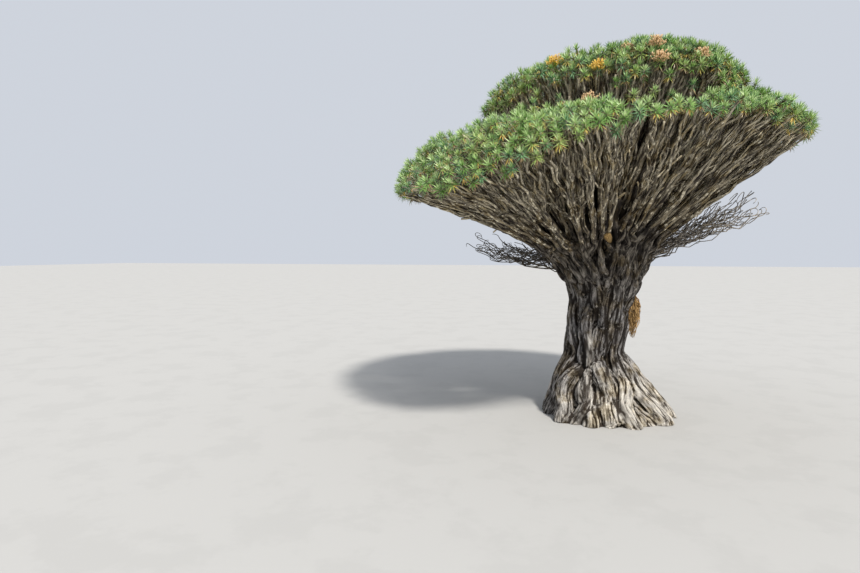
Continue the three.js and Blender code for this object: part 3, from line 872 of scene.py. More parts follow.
def path_frames(points):
    """At each point of a path: its heading and two directions across it that don't twist."""
    ahead = np.vstack([points[1:], 2 * points[-1] - points[-2]])
    behind = np.vstack([2 * points[0] - points[1], points[:-1]])
    heading = unit(ahead - behind)
    across = UP if abs(heading[0] @ UP) < 0.8 else np.array([1.0, 0.0, 0.0])
    first = np.empty_like(points)
    for step, way in enumerate(heading):
        across = unit(across - way * (across @ way))
        first[step] = across
    return heading, first, np.cross(heading, first)


def path_lengths(points):
    steps = np.linalg.norm(np.diff(points, axis=0), axis=1)
    return np.concatenate([[0.0], np.cumsum(steps)])


class Tubes:
    """Closed tubes gathered into one mesh, with coordinates along their grain."""

    def __init__(self, sides):
        self.sides = sides
        self.points = []
        self.spokes = []
        self.grain = []
        self.radii = []
        self.quads = []
        self.ends = []
        self.count = 0

    def add(self, points, radii):
        radii = np.asarray(radii)
        _, first, second = path_frames(points)
        angle = 2 * math.pi * np.arange(self.sides) / self.sides
        aside, beyond = np.cos(angle)[None, :, None], np.sin(angle)[None, :, None]
        spoke = aside * first[:, None] + beyond * second[:, None]
        ring = points[:, None] + spoke * radii[:, None, None]
        along = path_lengths(points) + self.count * TUBE_SHIFT
        across = radii[:, None] * np.cos(angle)
        beside = radii[:, None] * np.sin(angle)
        quads, ends = ring_faces(len(points), self.sides, self.count)
        self.points.append(ring.reshape(-1, 3))
        self.spokes.append(spoke.reshape(-1, 3))
        grain = np.stack(np.broadcast_arrays(across, beside, along[:, None]), axis=-1)
        self.grain.append(grain.reshape(-1, 3))
        self.radii.append(np.repeat(radii, self.sides))
        self.quads.append(quads)
        self.ends.append(ends)
        self.count += len(points) * self.sides

    def faces(self, offset=0):
        return [np.vstack(self.quads) + offset, np.vstack(self.ends) + offset]

    def thin(self):
        """From 0 on thick stems to 1 on the thinnest twigs."""
        share = (THICK_RADIUS - np.concatenate(self.radii)) / (THICK_RADIUS - THIN_RADIUS)
        return np.clip(share, 0, 1)

    def piece(self, name, material):
        points, grain = np.vstack(self.points), np.vstack(self.grain)
        return mesh_object(name, points, self.faces(), material, grain=grain, thin=self.thin())


# Shader groups and materials


def new_group(name, inputs, outputs):
    """An empty shader group that puts out values, with its input and output nodes. An input with
    a default is a number, and one without is a vector."""
    group = bpy.data.node_groups.new(name, "ShaderNodeTree")
    for label, value in inputs.items():
        kind = "NodeSocketVector" if value is None else "NodeSocketFloat"
        socket = group.interface.new_socket(label, in_out="INPUT", socket_type=kind)
        if value is not None:
            socket.default_value = value
    for label in outputs:
        group.interface.new_socket(label, in_out="OUTPUT", socket_type="NodeSocketFloat")
    return group, group.nodes.new("NodeGroupInput"), group.nodes.new("NodeGroupOutput")


def feed(tree, socket, value):
    """Links another node's output to a socket, or sets the socket to a number or a colour."""
    if isinstance(value, bpy.types.NodeSocket):
        tree.links.new(value, socket)
    elif isinstance(value, (int, float)):
        socket.default_value = value
    else:
        socket.default_value = (*value, 1.0)


def add_math(tree, operation, *values):
    node = tree.nodes.new("ShaderNodeMath")
    node.operation = operation
    for socket, value in zip(node.inputs, values):
        feed(tree, socket, value)
    return node.outputs[0]


def add_noise(tree, vector, scale, detail, roughness=0.6):
    node = tree.nodes.new("ShaderNodeTexNoise")
    labels = ("Vector", "Scale", "Detail", "Roughness")
    for label, value in zip(labels, (vector, scale, detail, roughness)):
        feed(tree, node.inputs[label], value)
    return node.outputs["Fac"]


def add_range(tree, value, low, high, to_low=0.0, to_high=1.0):
    node = tree.nodes.new("ShaderNodeMapRange")
    node.interpolation_type = "SMOOTHSTEP"
    labels = ("Value", "From Min", "From Max", "To Min", "To Max")
    for label, given in zip(labels, (value, low, high, to_low, to_high)):
        feed(tree, node.inputs[label], given)
    return node.outputs["Result"]


def add_mix(tree, share, first, second, blend="MIX"):
    node = tree.nodes.new("ShaderNodeMix")
    node.data_type = "RGBA"
    node.blend_type = blend
    node.clamp_factor = True
    for index, value in ((0, share), (6, first), (7, second)):
        feed(tree, node.inputs[index], value)
    return node.outputs[2]


@lru_cache(maxsize=1)
def furrow_group():
    """Long furrows and fine cracks that run with the grain: a mask of ridges and a height."""
    inputs = {"Grain": None, "Scale": 1.0, "Stretch": 0.16}
    tree, start, end = new_group("bark_furrows", inputs, ["Ridge", "Height"])
    squeeze = tree.nodes.new("ShaderNodeVectorMath")
    squeeze.operation = "MULTIPLY"
    factors = tree.nodes.new("ShaderNodeCombineXYZ")
    factors.inputs[0].default_value = 1.0
    factors.inputs[1].default_value = 1.0
    tree.links.new(start.outputs["Stretch"], factors.inputs[2])
    tree.links.new(start.outputs["Grain"], squeeze.inputs[0])
    tree.links.new(factors.outputs[0], squeeze.inputs[1])
    broad_scale = add_math(tree, "MULTIPLY", start.outputs["Scale"], 9.0)
    fine_scale = add_math(tree, "MULTIPLY", start.outputs["Scale"], 38.0)
    broad = add_noise(tree, squeeze.outputs[0], broad_scale, 3.0)
    fine = add_noise(tree, squeeze.outputs[0], fine_scale, 4.0, 0.7)
    crack = add_math(tree, "ABSOLUTE", add_math(tree, "SUBTRACT", fine, 0.5))
    raised = add_range(tree, broad, 0.36, 0.66)
    opened = add_range(tree, crack, 0.0, 0.09)
    ridge = add_math(tree, "MULTIPLY", raised, add_math(tree, "MULTIPLY_ADD", opened, 0.6, 0.5))
    tree.links.new(ridge, end.inputs["Ridge"])
    cracked = add_math(tree, "MULTIPLY", opened, 0.4)
    height = add_math(tree, "ADD", add_math(tree, "MULTIPLY", raised, 0.6), cracked)
    tree.links.new(height, end.inputs["Height"])
    return tree


@lru_cache(maxsize=1)
def patch_group():
    """Soft uneven patches, such as lichen, dust or sun bleaching, as a mask."""
    inputs = {"Vector": None, "Scale": 1.0, "Cover": 0.5}
    tree, start, end = new_group("soft_patches", inputs, ["Mask"])
    cloud = add_noise(tree, start.outputs["Vector"], start.outputs["Scale"], 5.0, 0.65)
    edge = add_math(tree, "SUBTRACT", 0.78, add_math(tree, "MULTIPLY", start.outputs["Cover"], 0.5))
    over = add_math(tree, "SUBTRACT", cloud, edge)
    tree.links.new(add_range(tree, over, -0.06, 0.08), end.inputs["Mask"])
    return tree


@lru_cache(maxsize=1)
def sunfleck_group():
    """Short pale sunflecks along the grain: painted spots of sunlight that falls through the crown,
    as a mask.
    """
    tree, start, end = new_group("painted_sunflecks", {"Grain": None, "Cover": 0.5}, ["Mask"])
    squeeze = tree.nodes.new("ShaderNodeVectorMath")
    squeeze.operation = "MULTIPLY"
    squeeze.inputs[1].default_value = (9.0, 9.0, 5.0)
    tree.links.new(start.outputs["Grain"], squeeze.inputs[0])
    spots = add_noise(tree, squeeze.outputs[0], 1.0, 2.0, 0.5)
    lowered = add_math(tree, "MULTIPLY", start.outputs["Cover"], 0.24)
    edge = add_math(tree, "SUBTRACT", 0.72, lowered)
    over = add_math(tree, "SUBTRACT", spots, edge)
    tree.links.new(add_range(tree, over, -0.01, 0.035), end.inputs["Mask"])
    return tree


def use_group(tree, group, **values):
    node = tree.nodes.new("ShaderNodeGroup")
    node.node_tree = group
    for label, value in values.items():
        feed(tree, node.inputs[label], value)
    return node


def new_material(name, roughness, specular):
    material = bpy.data.materials.new(name)
    material.use_nodes = True
    tree = material.node_tree
    shader = next(node for node in tree.nodes if node.type == "BSDF_PRINCIPLED")
    shader.inputs["Roughness"].default_value = roughness
    shader.inputs["Specular IOR Level"].default_value = specular
    return material, tree, shader


def add_bump(tree, shader, height, distance, strength=1.0):
    bump = tree.nodes.new("ShaderNodeBump")
    bump.inputs["Strength"].default_value = strength
    bump.inputs["Distance"].default_value = distance
    tree.links.new(height, bump.inputs["Height"])
    tree.links.new(bump.outputs["Normal"], shader.inputs["Normal"])


def attribute(tree, name, output):
    node = tree.nodes.new("ShaderNodeAttribute")
    node.attribute_name = name
    return node.outputs[output]


def object_places(tree):
    return tree.nodes.new("ShaderNodeTexCoord").outputs["Object"]


def bark_material(
    name, ridge, furrow_and_shade, lichen, pale_and_sunfleck, limb=None, scale=1.0, cover=0.5, bump=0.01, massive=False
):
    """Weathered bark: pale ridges and dark furrows along the grain, painted sunflecks and lichen.
    Thin stems are paler. On the massive trunk painted shade darkens the deep hollows, the folds and
    the inside of the fan, and the foot is paler from bleaching and painted sunlit on its side
    towards the sun."""
    material, tree, shader = new_material(name, 0.92, 0.2)
    grain = attribute(tree, "grain", "Vector")
    stretch = 0.2 if massive else 0.16
    furrows = use_group(tree, furrow_group(), Grain=grain, Scale=scale, Stretch=stretch)
    places = object_places(tree)
    patches = use_group(tree, patch_group(), Vector=places, Scale=1.3, Cover=0.5)
    ridge_mask = furrows.outputs["Ridge"]
    thin = add_math(tree, "MULTIPLY", attribute(tree, "thin", "Fac"), 0.8)
    pale = add_mix(tree, thin, ridge, limb or pale_and_sunfleck)
    if massive:
        # Painted shade: the creases, the deep folds and the inside of the fan take the dark
        # furrows' colour
        unshaded = add_range(tree, attribute(tree, "hollow", "Fac"), 0.2, 0.7)
        ridge_mask = add_math(tree, "MULTIPLY", ridge_mask, unshaded)
        # The foot is paler from bleaching and painted sunlit on its side towards the sun, with
        # fewer dark furrows there
        foot = attribute(tree, "bleached", "Fac")
        bleach_and_sun_smoothing = add_math(tree, "SUBTRACT", 1.0, add_math(tree, "MULTIPLY", foot, 0.5))
        ridge_mask = add_math(tree, "POWER", ridge_mask, bleach_and_sun_smoothing)
        pale = add_mix(tree, foot, pale, BLEACH_AND_SUN_COLOUR)
        furrow_and_shade = add_mix(tree, foot, furrow_and_shade, BLEACH_AND_SUN_FURROW)
    weathered = add_mix(tree, ridge_mask, furrow_and_shade, pale)
    tint = add_math(tree, "MULTIPLY", patches.outputs["Mask"], 0.75)
    tinted = add_mix(tree, tint, weathered, lichen, "SOFT_LIGHT")
    # Painted sunflecks: spots of sunlight on the ridges
    sunflecks = use_group(tree, sunfleck_group(), Grain=grain, Cover=cover)
    on_ridges = add_range(tree, ridge_mask, 0.0, 0.5, 0.25, 1.0)
    shown = add_math(tree, "MULTIPLY", sunflecks.outputs["Mask"], on_ridges)
    tree.links.new(add_mix(tree, shown, tinted, pale_and_sunfleck), shader.inputs["Base Color"])
    tree.links.new(add_range(tree, ridge_mask, 0.0, 1.0, 0.98, 0.8), shader.inputs["Roughness"])
    add_bump(tree, shader, furrows.outputs["Height"], bump)
    return material


def leaf_material(name, colour, change, cover):
    """A leaf finish: its colour, and a second tone that shows in soft patches along the sprays."""
    material, tree, shader = new_material(name, 0.4, 0.5)
    places = object_places(tree)
    patches = use_group(tree, patch_group(), Vector=places, Scale=2.4, Cover=cover)
    share = add_math(tree, "MULTIPLY", patches.outputs["Mask"], 0.6)
    tree.links.new(add_mix(tree, share, colour, change), shader.inputs["Base Color"])
    streaks = add_noise(tree, places, 60.0, 2.0)
    tree.links.new(add_range(tree, streaks, 0.3, 0.7, 0.3, 0.52), shader.inputs["Roughness"])
    add_bump(tree, shader, streaks, 0.004)
    return material


# Trunk and boughs


def between(height, low, high):
    """From 0 below and above a stretch of heights to 1 well inside it."""
    rising = smoothed(np.clip((height - low) / 0.6, 0, 1))
    return rising * smoothed(np.clip((high - height) / 0.8, 0, 1))


def trunk_hollow(azimuth, height):
    """How deep the deep folds between the trunk's columns are."""
    deep = 0.0
    for fold in TRUNK_HOLLOWS:
        middle = math.radians(fold["azimuth"]) + 0.05 * np.sin(2.1 * height + fold["azimuth"])
        near = nearness(azimuth, middle, math.radians(fold["width"]))
        deep = deep + fold["depth"] * near * between(height, fold["low"], fold["high"])
    return deep


def above_waist(height):
    """From 0 at the waist and below it to 1 at the fork, and on above it."""
    return np.maximum(0, height - WAIST_HEIGHT) / (FORK_HEIGHT - WAIST_HEIGHT)


def trunk_radius(azimuth, height):
    radius = mix(WAIST_RADIUS, FORK_RADIUS, above_waist(height))
    for flare in ROOT_FLARES:
        facing = np.maximum(0, np.cos(azimuth - math.radians(flare["azimuth"])))
        top = flare["top"] * (1 + flare["wave"] * np.sin(4 * azimuth + 1) * np.cos(9 * azimuth))
        low = np.maximum(0, 1 - height / top)
        radius = radius + flare["reach"] * low ** flare["power"] * facing * facing
    radius = radius + FAN_OPEN * np.maximum(0, height - FAN_START) ** FAN_POWER
    return radius - trunk_hollow(azimuth, height)


def trunk_place(azimuth, height, inset):
    """A point on the trunk's side, inset from its outer face."""
    place = around(azimuth, trunk_radius(azimuth, height) - inset, height)
    place[..., 0] += mix(WAIST_X, FORK_CENTRE_X, np.minimum(1, above_waist(height)))
    return place


def trunk_core():
    """The trunk's plain inner body, as one closed skin with a round top among the boughs."""
    heights = np.linspace(-GROUND_OVERRUN, CORE_TOP, CORE_RINGS)[:, None]
    azimuth = 2 * math.pi * np.arange(CORE_SECTORS) / CORE_SECTORS
    deep = smoothed(np.clip((heights - FORK_HEIGHT + 0.2) / 1.6, 0, 1))
    inset = mix(CORE_INSET, CORE_DEEP_INSET, deep)
    rings = trunk_place(azimuth[None, :], np.maximum(heights, 0), inset)
    rise = np.clip((heights - CORE_SHOULDER) / (CORE_TOP - CORE_SHOULDER), 0, 1)
    narrow = np.sqrt(np.maximum(0.01, 1 - rise * rise))
    rings[..., 0] = FORK_CENTRE_X + (rings[..., 0] - FORK_CENTRE_X) * narrow
    rings[..., 1] *= narrow
    rings[..., 2] = heights
    return rings.reshape(-1, 3), *ring_faces(CORE_RINGS, CORE_SECTORS)


def column_path(number, count, radius):
    """A column that wanders up the trunk's side and sinks in among the boughs above the fork."""
    heights = np.linspace(-GROUND_OVERRUN, COLUMN_TOP, COLUMN_STEPS)
    base = 2 * math.pi * (number + COLUMN_SCATTER * signed_chance(number, 3)) / count
    phase = 2 * math.pi * chance(number, 5)
    azimuth = base + 0.13 * np.sin(heights * 1.2 + phase) + 0.06 * np.sin(heights * 2.9 + 2 * phase)
    own_radius = radius * mix(COLUMN_THINNEST, COLUMN_THICKEST, chance(number, 7))
    thick = own_radius * (1 + 0.14 * np.sin(heights * 2.3 + phase))
    thick *= 1 + COLUMN_FOOT_SWELL * np.clip(1 - heights / COLUMN_FOOT_HEIGHT, 0, 1)
    top = np.clip((heights - COLUMN_THIN_FROM) / (COLUMN_TOP - COLUMN_THIN_FROM), 0, 1)
    thick *= 1 - COLUMN_TOP_NARROWING * top
    inset = COLUMN_INSET * thick + COLUMN_TOP_SINK * top * top
    line = trunk_place(azimuth, np.maximum(heights, 0), inset)
    line[:, 2] = heights
    return smooth_path(line, thick, 2)


def limb_path(line, root_radius, end_radius, number):
    """A limb's line, with uneven bends, from inside what carries it to inside its first twigs."""
    shares = np.linspace(0, 1, len(line))
    side, other = square_to(unit(line[-1] - line[0]), NEARLY_UP)
    phase = 2 * math.pi * chance(number, 17)
    size = LIMB_WAVE * np.sin(math.pi * shares) ** 0.6
    sway = size * (np.sin(8 * shares + phase) + 0.5 * np.sin(19 * shares + 2 * phase))
    lift = size * (0.8 * np.cos(10 * shares + 3 * phase) + 0.4 * np.sin(23 * shares + phase))
    root = root_radius * mix(LIMB_THINNEST, LIMB_THICKEST, chance(number, 29))
    on_fork = abs(line[0, 2] - FORK_HEIGHT) < 0.01
    deeper = STRAND_ROOT_DEPTH if on_fork else LIMB_ROOT_DEPTH
    inside = line[0] - unit(line[1] - line[0]) * deeper
    line = line + side * sway[:, None] + other * lift[:, None]
    radii = mix(root, end_radius, shares**0.8) * (1 + 0.12 * np.sin(11 * shares + number))
    return smooth_path(np.vstack([inside, line]), np.append(radii[0], radii), LIMB_STEPS)


def split_limb(line, radii):
    """The part of a limb that is fused into the trunk's skin, and the part beyond it. Each ends
    thin, inside the other, so no end shows."""
    fork = np.array([FORK_CENTRE_X, 0, FORK_HEIGHT])
    away = np.maximum.accumulate(np.linalg.norm(line - fork, axis=1) * (line[:, 2] > FORK_HEIGHT))
    fused = away < FUSED_REACH
    beyond = away > FUSED_REACH - FUSED_OVERLAP
    fading = np.clip((FUSED_REACH - away) / (0.7 * FUSED_OVERLAP), 0.35, 1)
    rising = np.clip((away - FUSED_REACH + FUSED_OVERLAP) / (0.5 * FUSED_OVERLAP), 0.35, 1)
    return (line[fused], (radii * fading)[fused]), (line[beyond], (radii * rising)[beyond])


def fused_skin(tubes, core, cell):
    """One skin over all the tubes and the core, cut flat at the ground."""
    points, quads, ends = core
    faces = [*tubes.faces(), quads + tubes.count, ends + tubes.count]
    rough_finish = bpy.data.materials.new("rough")
    rough = mesh_object("rough_skin", np.vstack([*tubes.points, points]), faces, rough_finish)
    remesh = rough.modifiers.new("skin", "REMESH")
    remesh.mode = "VOXEL"
    remesh.voxel_size = cell
    settle = rough.modifiers.new("settle", "SMOOTH")
    settle.factor = 0.5
    settle.iterations = 2
    graph = bpy.context.evaluated_depsgraph_get()
    mesh = bpy.data.meshes.new_from_object(rough.evaluated_get(graph))
    bpy.data.objects.remove(rough)
    bpy.data.materials.remove(rough_finish)
    cutter = bmesh.new()
    cutter.from_mesh(mesh)
    whole = cutter.verts[:] + cutter.edges[:] + cutter.faces[:]
    cut = bmesh.ops.bisect_plane(
        cutter, geom=whole, plane_co=(0, 0, 0.001), plane_no=(0, 0, -1), clear_outer=True
    )
    rim = [item for item in cut["geom_cut"] if isinstance(item, bmesh.types.BMEdge)]
    bmesh.ops.holes_fill(cutter, edges=rim, sides=0)
    cutter.to_mesh(mesh)
    cutter.free()
    return mesh


def mesh_values(items, field, kind, width=1):
    """One field of all of a mesh's vertices, edges, corners or faces."""
    values = np.empty(len(items) * width, kind)
    items.foreach_get(field, values)
    return values.reshape(-1, width) if width > 1 else values


def face_blocks(mesh):
    """A mesh's faces as blocks, one for each number of corners."""
    sizes = mesh_values(mesh.polygons, "loop_total", np.int32)
    starts = mesh_values(mesh.polygons, "loop_start", np.int32)
    corners = mesh_values(mesh.loops, "vertex_index", np.int32)
    return [
        corners[starts[sizes == size][:, None] + np.arange(size)] for size in np.unique(sizes)
    ]


def mesh_points(mesh):
    points = mesh_values(mesh.vertices, "co", np.float32, 3)
    normals = mesh_values(mesh.vertex_normals, "vector", np.float32, 3)
    return points.astype(float), normals.astype(float)


def grain_places(points, paths):
    """Where each point lies across and along the path nearest to it."""
    lines = [path_frames(line) for line in paths]
    middles = np.vstack(paths)
    first = np.vstack([frame_set[1] for frame_set in lines])
    second = np.vstack([frame_set[2] for frame_set in lines])
    along = np.concatenate([path_lengths(line) for line in paths])
    own = np.concatenate([np.full(len(line), number) for number, line in enumerate(paths)])
    tree = KDTree(len(middles))
    for number, middle in enumerate(middles):
        tree.insert(middle, number)
    tree.balance()
    nearest = np.array([tree.find(point)[1] for point in points])
    arm = points - middles[nearest]
    across = np.sum(arm * first[nearest], axis=1)
    beside = np.sum(arm * second[nearest], axis=1)
    heading = np.cross(first[nearest], second[nearest])
    ahead = along[nearest] + np.sum(arm * heading, axis=1)
    shift = own[nearest] * PATH_SHIFT
    return np.stack([across + shift, beside + shift, ahead], axis=1)


def neighbour_means(values, edges):
    total = np.zeros_like(values)
    count = np.zeros(len(values))
    for here, there in ((0, 1), (1, 0)):
        np.add.at(total, edges[:, here], values[edges[:, there]])
        np.add.at(count, edges[:, here], 1)
    return total / np.maximum(count, 1).reshape(-1, *[1] * (values.ndim - 1))


def hollow_mask(points, normals, edges):
    """Painted shade from the bark's relief: from 0 deep in its creases, darkened as if in shade, to
    1 out on a ridge.
    """
    near = neighbour_means(points, edges)
    for _ in range(3):
        near = neighbour_means(near, edges)
    stand = np.sum((points - near) * normals, axis=1)
    for _ in range(2):
        stand = 0.5 * stand + 0.5 * neighbour_means(stand, edges)
    return np.clip(0.5 + stand * FURROW_SHADE_CONTRAST, 0, 1)


def winding_cracks(places, seed, sharpness):
    """From 0 along winding cracks to 1 between them."""
    away = np.abs(2 * soft_noise(places, seed) - 1)
    return np.clip(FURROW_WALL * away, 0, 1) ** sharpness


def furrow_relief(grain, points, depth, fineness, stretch):
    """How far each point of the bark moves along its normal: sinuous furrows, cracks and lumps."""
    sway = np.stack([soft_noise(points * 1.3, 21), soft_noise(points * 1.3 + 9, 23)], axis=1) - 0.5
    place = grain * np.array([1.0, 1.0, stretch])
    place[:, :2] += BARK_SWAY * sway
    place = place * fineness
    furrows = winding_cracks(place * FURROW_FINENESS, 3, 0.7)
    cracks = winding_cracks(place * CRACK_FINENESS + 40, 5, 0.8)
    upright = points * np.array([1.0, 1.0, 0.5]) * fineness
    lumps = soft_noise(upright * 2.3, 9) + 0.5 * soft_noise(upright * 5.0, 11)
    return depth * (furrows + CRACK_SHARE * cracks - RELIEF_LEVEL + LUMP_SHARE * (lumps - 0.75))


def fan_and_fold_shade(points):
    """Painted shade: from 1 in the open to 0 well inside the fan of boughs or a fold of the trunk.
    """
    arm = points - np.array([FORK_CENTRE_X, 0, 0])
    azimuth = np.arctan2(arm[:, 1], arm[:, 0])
    deep = trunk_radius(azimuth, points[:, 2]) - np.hypot(arm[:, 0], arm[:, 1])
    high = np.clip((points[:, 2] - FORK_HEIGHT) / 0.8, 0, 1)
    fan = 1 - high * np.clip((deep - 0.25) / 0.5, 0, FAN_SHADE)
    fold = FOLD_SHADE_RATE * trunk_hollow(azimuth, points[:, 2])
    return fan * (1 - np.clip(fold, 0, FOLD_SHADE))


def upper_share(points):
    """From 0 on the trunk to part way at the limbs' browner tone, up in the fan."""
    return UPPER_TONE * np.clip((points[:, 2] - UPPER_TONE_FROM) / UPPER_TONE_SPAN, 0, 1)


def bleached_share(points):
    """From 1 on the foot's side towards the sun, paler from bleaching and painted sunlit, and on
    one paler plate of the bark, to 0 elsewhere.
    """
    azimuth = np.arctan2(points[:, 1], points[:, 0] - WAIST_X)
    height = points[:, 2] + 1.1 * (soft_noise(points * 1.6, 33) - 0.5)
    foot = np.clip((BLEACH_AND_SUN_FROM - height) / (BLEACH_AND_SUN_FROM - BLEACH_AND_SUN_TO), 0, 1)
    facing = np.clip(0.45 + 0.75 * np.cos(azimuth - SUNLIT_AZIMUTH), 0.12, 1)
    plate = 0.6 * nearness(azimuth, PLATE_AZIMUTH, PLATE_WIDTH) * between(height, 1.6, 4.0)
    return np.maximum(foot * facing, plate)


class DRAGONTREE_OT_trunk(bpy.types.Operator):
    """Makes the trunk and the boughs: a skin of bark over fused columns, and the limbs beyond it"""

    bl_idname = "dragontree.trunk"
    bl_label = "Trunk and boughs"

    def execute(self, context):
        sizes = context.scene.dragon_tree_trunk
        fused, free = Tubes(COLUMN_SIDES), Tubes(LIMB_SIDES)
        paths = [
            column_path(number, sizes.columns, sizes.column_radius)
            for number in range(sizes.columns)
        ]
        limbs = own_growth(context.scene.dragon_tree_crown)[1] + front_stems()
        for number, limb in enumerate(limbs):
            inner, outer = split_limb(*limb_path(*limb, number))
            if len(inner[0]) > 1:
                paths.append(inner)
            free.add(*outer)
        for line, radii in paths:
            fused.add(line, radii)
        skin = fused_skin(fused, trunk_core(), sizes.cell)
        points, normals = mesh_points(skin)
        edges = mesh_values(skin.edges, "vertices", np.int32, 2)
        grain = grain_places(points, [line for line, _ in paths])
        depth = sizes.relief * np.clip(1.1 - points[:, 2] / 16, 0.5, 1)
        relief = furrow_relief(grain, points, depth, SKIN_FINENESS, SKIN_STRETCH)
        moved = points + normals * relief[:, None]
        foot = points[:, 2] < 0.002
        moved[foot] = points[foot]
        moved[:, 2] = np.maximum(moved[:, 2], 0)
        skin.vertices.foreach_set("co", moved.ravel().astype(np.float32))
        skin.update()
        _, normals = mesh_points(skin)
        # Painted shade: the bark is darker in its creases, in the trunk's deep folds and inside the
        # fan
        hollow = hollow_mask(moved, normals, edges) * fan_and_fold_shade(moved)
        limb_points, limb_grain = np.vstack(free.points), np.vstack(free.grain)
        thick = np.concatenate(free.radii)
        depth = LIMB_RELIEF * thick
        relief = furrow_relief(limb_grain, limb_points, depth, LIMB_FINENESS, LIMB_STRETCH)
        # Painted shade in the limbs' creases and inside the fan
        limb_hollow = np.clip(0.65 + 3.5 * relief / thick, 0, 1)
        limb_points = limb_points + np.vstack(free.spokes) * relief[:, None]
        limb_hollow *= fan_and_fold_shade(limb_points)
        material = bark_material(
            "trunk_bark", sizes.ridge_colour, sizes.furrow_and_shade_colour, sizes.lichen_colour,
            sizes.pale_and_sunfleck_colour, sizes.limb_colour, bump=0.03, cover=0.24, massive=True,
        )
        piece = mesh_object(
            "trunk_and_boughs", np.vstack([moved, limb_points]),
            [*face_blocks(skin), *free.faces(len(moved))], material,
            grain=np.vstack([grain, limb_grain]), hollow=np.append(hollow, limb_hollow),
            thin=np.append(upper_share(moved), np.maximum(free.thin(), upper_share(limb_points))),
            # The foot's paler bleaching, with painted sunlight on its side towards the sun
            bleached=np.append(bleached_share(moved), np.zeros(len(limb_points))),
        )
        bpy.data.meshes.remove(skin)
        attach(piece, "root")
        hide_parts("trunk", *BOUGH_NODES)
        return {"FINISHED"}


class DRAGONTREE_OT_cut_stub(bpy.types.Operator):
    """Makes the cut stub of a lost bough, low in the front of the fan"""

    bl_idname = "dragontree.cut_stub"
    bl_label = "Cut stub"

    def execute(self, context):
        way = unit(STUB_WAY)
        side = unit(np.cross(way, UP))
        other = np.cross(side, way)
        turn = 2 * math.pi * np.arange(STUB_SIDES) / STUB_SIDES
        spoke = np.cos(turn)[:, None] * side + np.sin(turn)[:, None] * other
        swell = (1 + 0.12 * np.sin(3 * turn + 1))[:, None]
        rings = [
            STUB_PLACE + way * out + spoke * swell * STUB_RADIUS * width
            for out, width in STUB_RINGS
        ]
        material, tree, shader = new_material("cut_wood", 0.85, 0.25)
        places = object_places(tree)
        grain = add_noise(tree, places, 24.0, 4.0)
        tone = add_range(tree, grain, 0.35, 0.65)
        wood = add_mix(tree, tone, CUT_WOOD_DARK, CUT_WOOD_PALE)
        tree.links.new(wood, shader.inputs["Base Color"])
        add_bump(tree, shader, grain, 0.01)
        faces = ring_faces(len(rings), STUB_SIDES)
        piece = mesh_object("cut_stub", np.vstack(rings), faces, material)
        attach(piece, "root")
        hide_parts(*BOUGH_NODES)
        return {"FINISHED"}


# Crown


def own_growth(sizes):
    return crown_growth(sizes.rosettes, sizes.leaf_length, sizes.twig_radius, sizes.twig_growth)


def leafy_paths(sizes):
    """The twig paths that end in a rosette."""
    return [path for path in own_growth(sizes)[0] if path["leafy"]]


class DRAGONTREE_OT_twigs(bpy.types.Operator):
    """Grows the crown's twigs from the boughs to every rosette"""

    bl_idname = "dragontree.twigs"
    bl_label = "Twigs"

    def execute(self, context):
        sizes = context.scene.dragon_tree_crown
        bark = context.scene.dragon_tree_trunk
        growth, _ = own_growth(sizes)
        material = bark_material(
            "twig_bark", bark.twig_colour, [1.6 * part for part in bark.furrow_and_shade_colour],
            bark.lichen_colour, bark.twig_pale_and_sunfleck_colour, scale=1.1, cover=0.5, bump=0.01,
        )
        for side, name in ((-1, "twigs_left"), (1, "twigs_right")):
            tubes = Tubes(TWIG_SIDES)
            for path in growth:
                if side * path["place"][0] > 0:
                    tubes.add(*smooth_path(path["points"], path["radii"], TWIG_STEPS))
            piece = tubes.piece(name, material)
            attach(piece, "root")
            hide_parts(*FOLIAGE_NODES)
        return {"FINISHED"}


def leaf_blades(base, way, flat, length, width, droop):
    """Sword leaves as points and faces: each has two pairs of edge points and a tip."""
    count = len(base)
    station = np.append(LEAF_STATIONS, 1.0)
    run = length[:, None] * station
    fall = (droop * length)[:, None] * station**2
    spine = base[:, None] + way[:, None] * run[..., None] - UP * fall[..., None]
    half = 0.5 * width[:, None] * LEAF_WIDTHS
    edge = flat[:, None] * half[..., None]
    points = np.empty((count, 5, 3))
    points[:, 0:4:2] = spine[:, :2] - edge
    points[:, 1:4:2] = spine[:, :2] + edge
    points[:, 4] = spine[:, 2]
    faces = LEAF_FACES[None] + 5 * np.arange(count)[:, None, None]
    return points.reshape(-1, 3), faces.reshape(-1, 3)


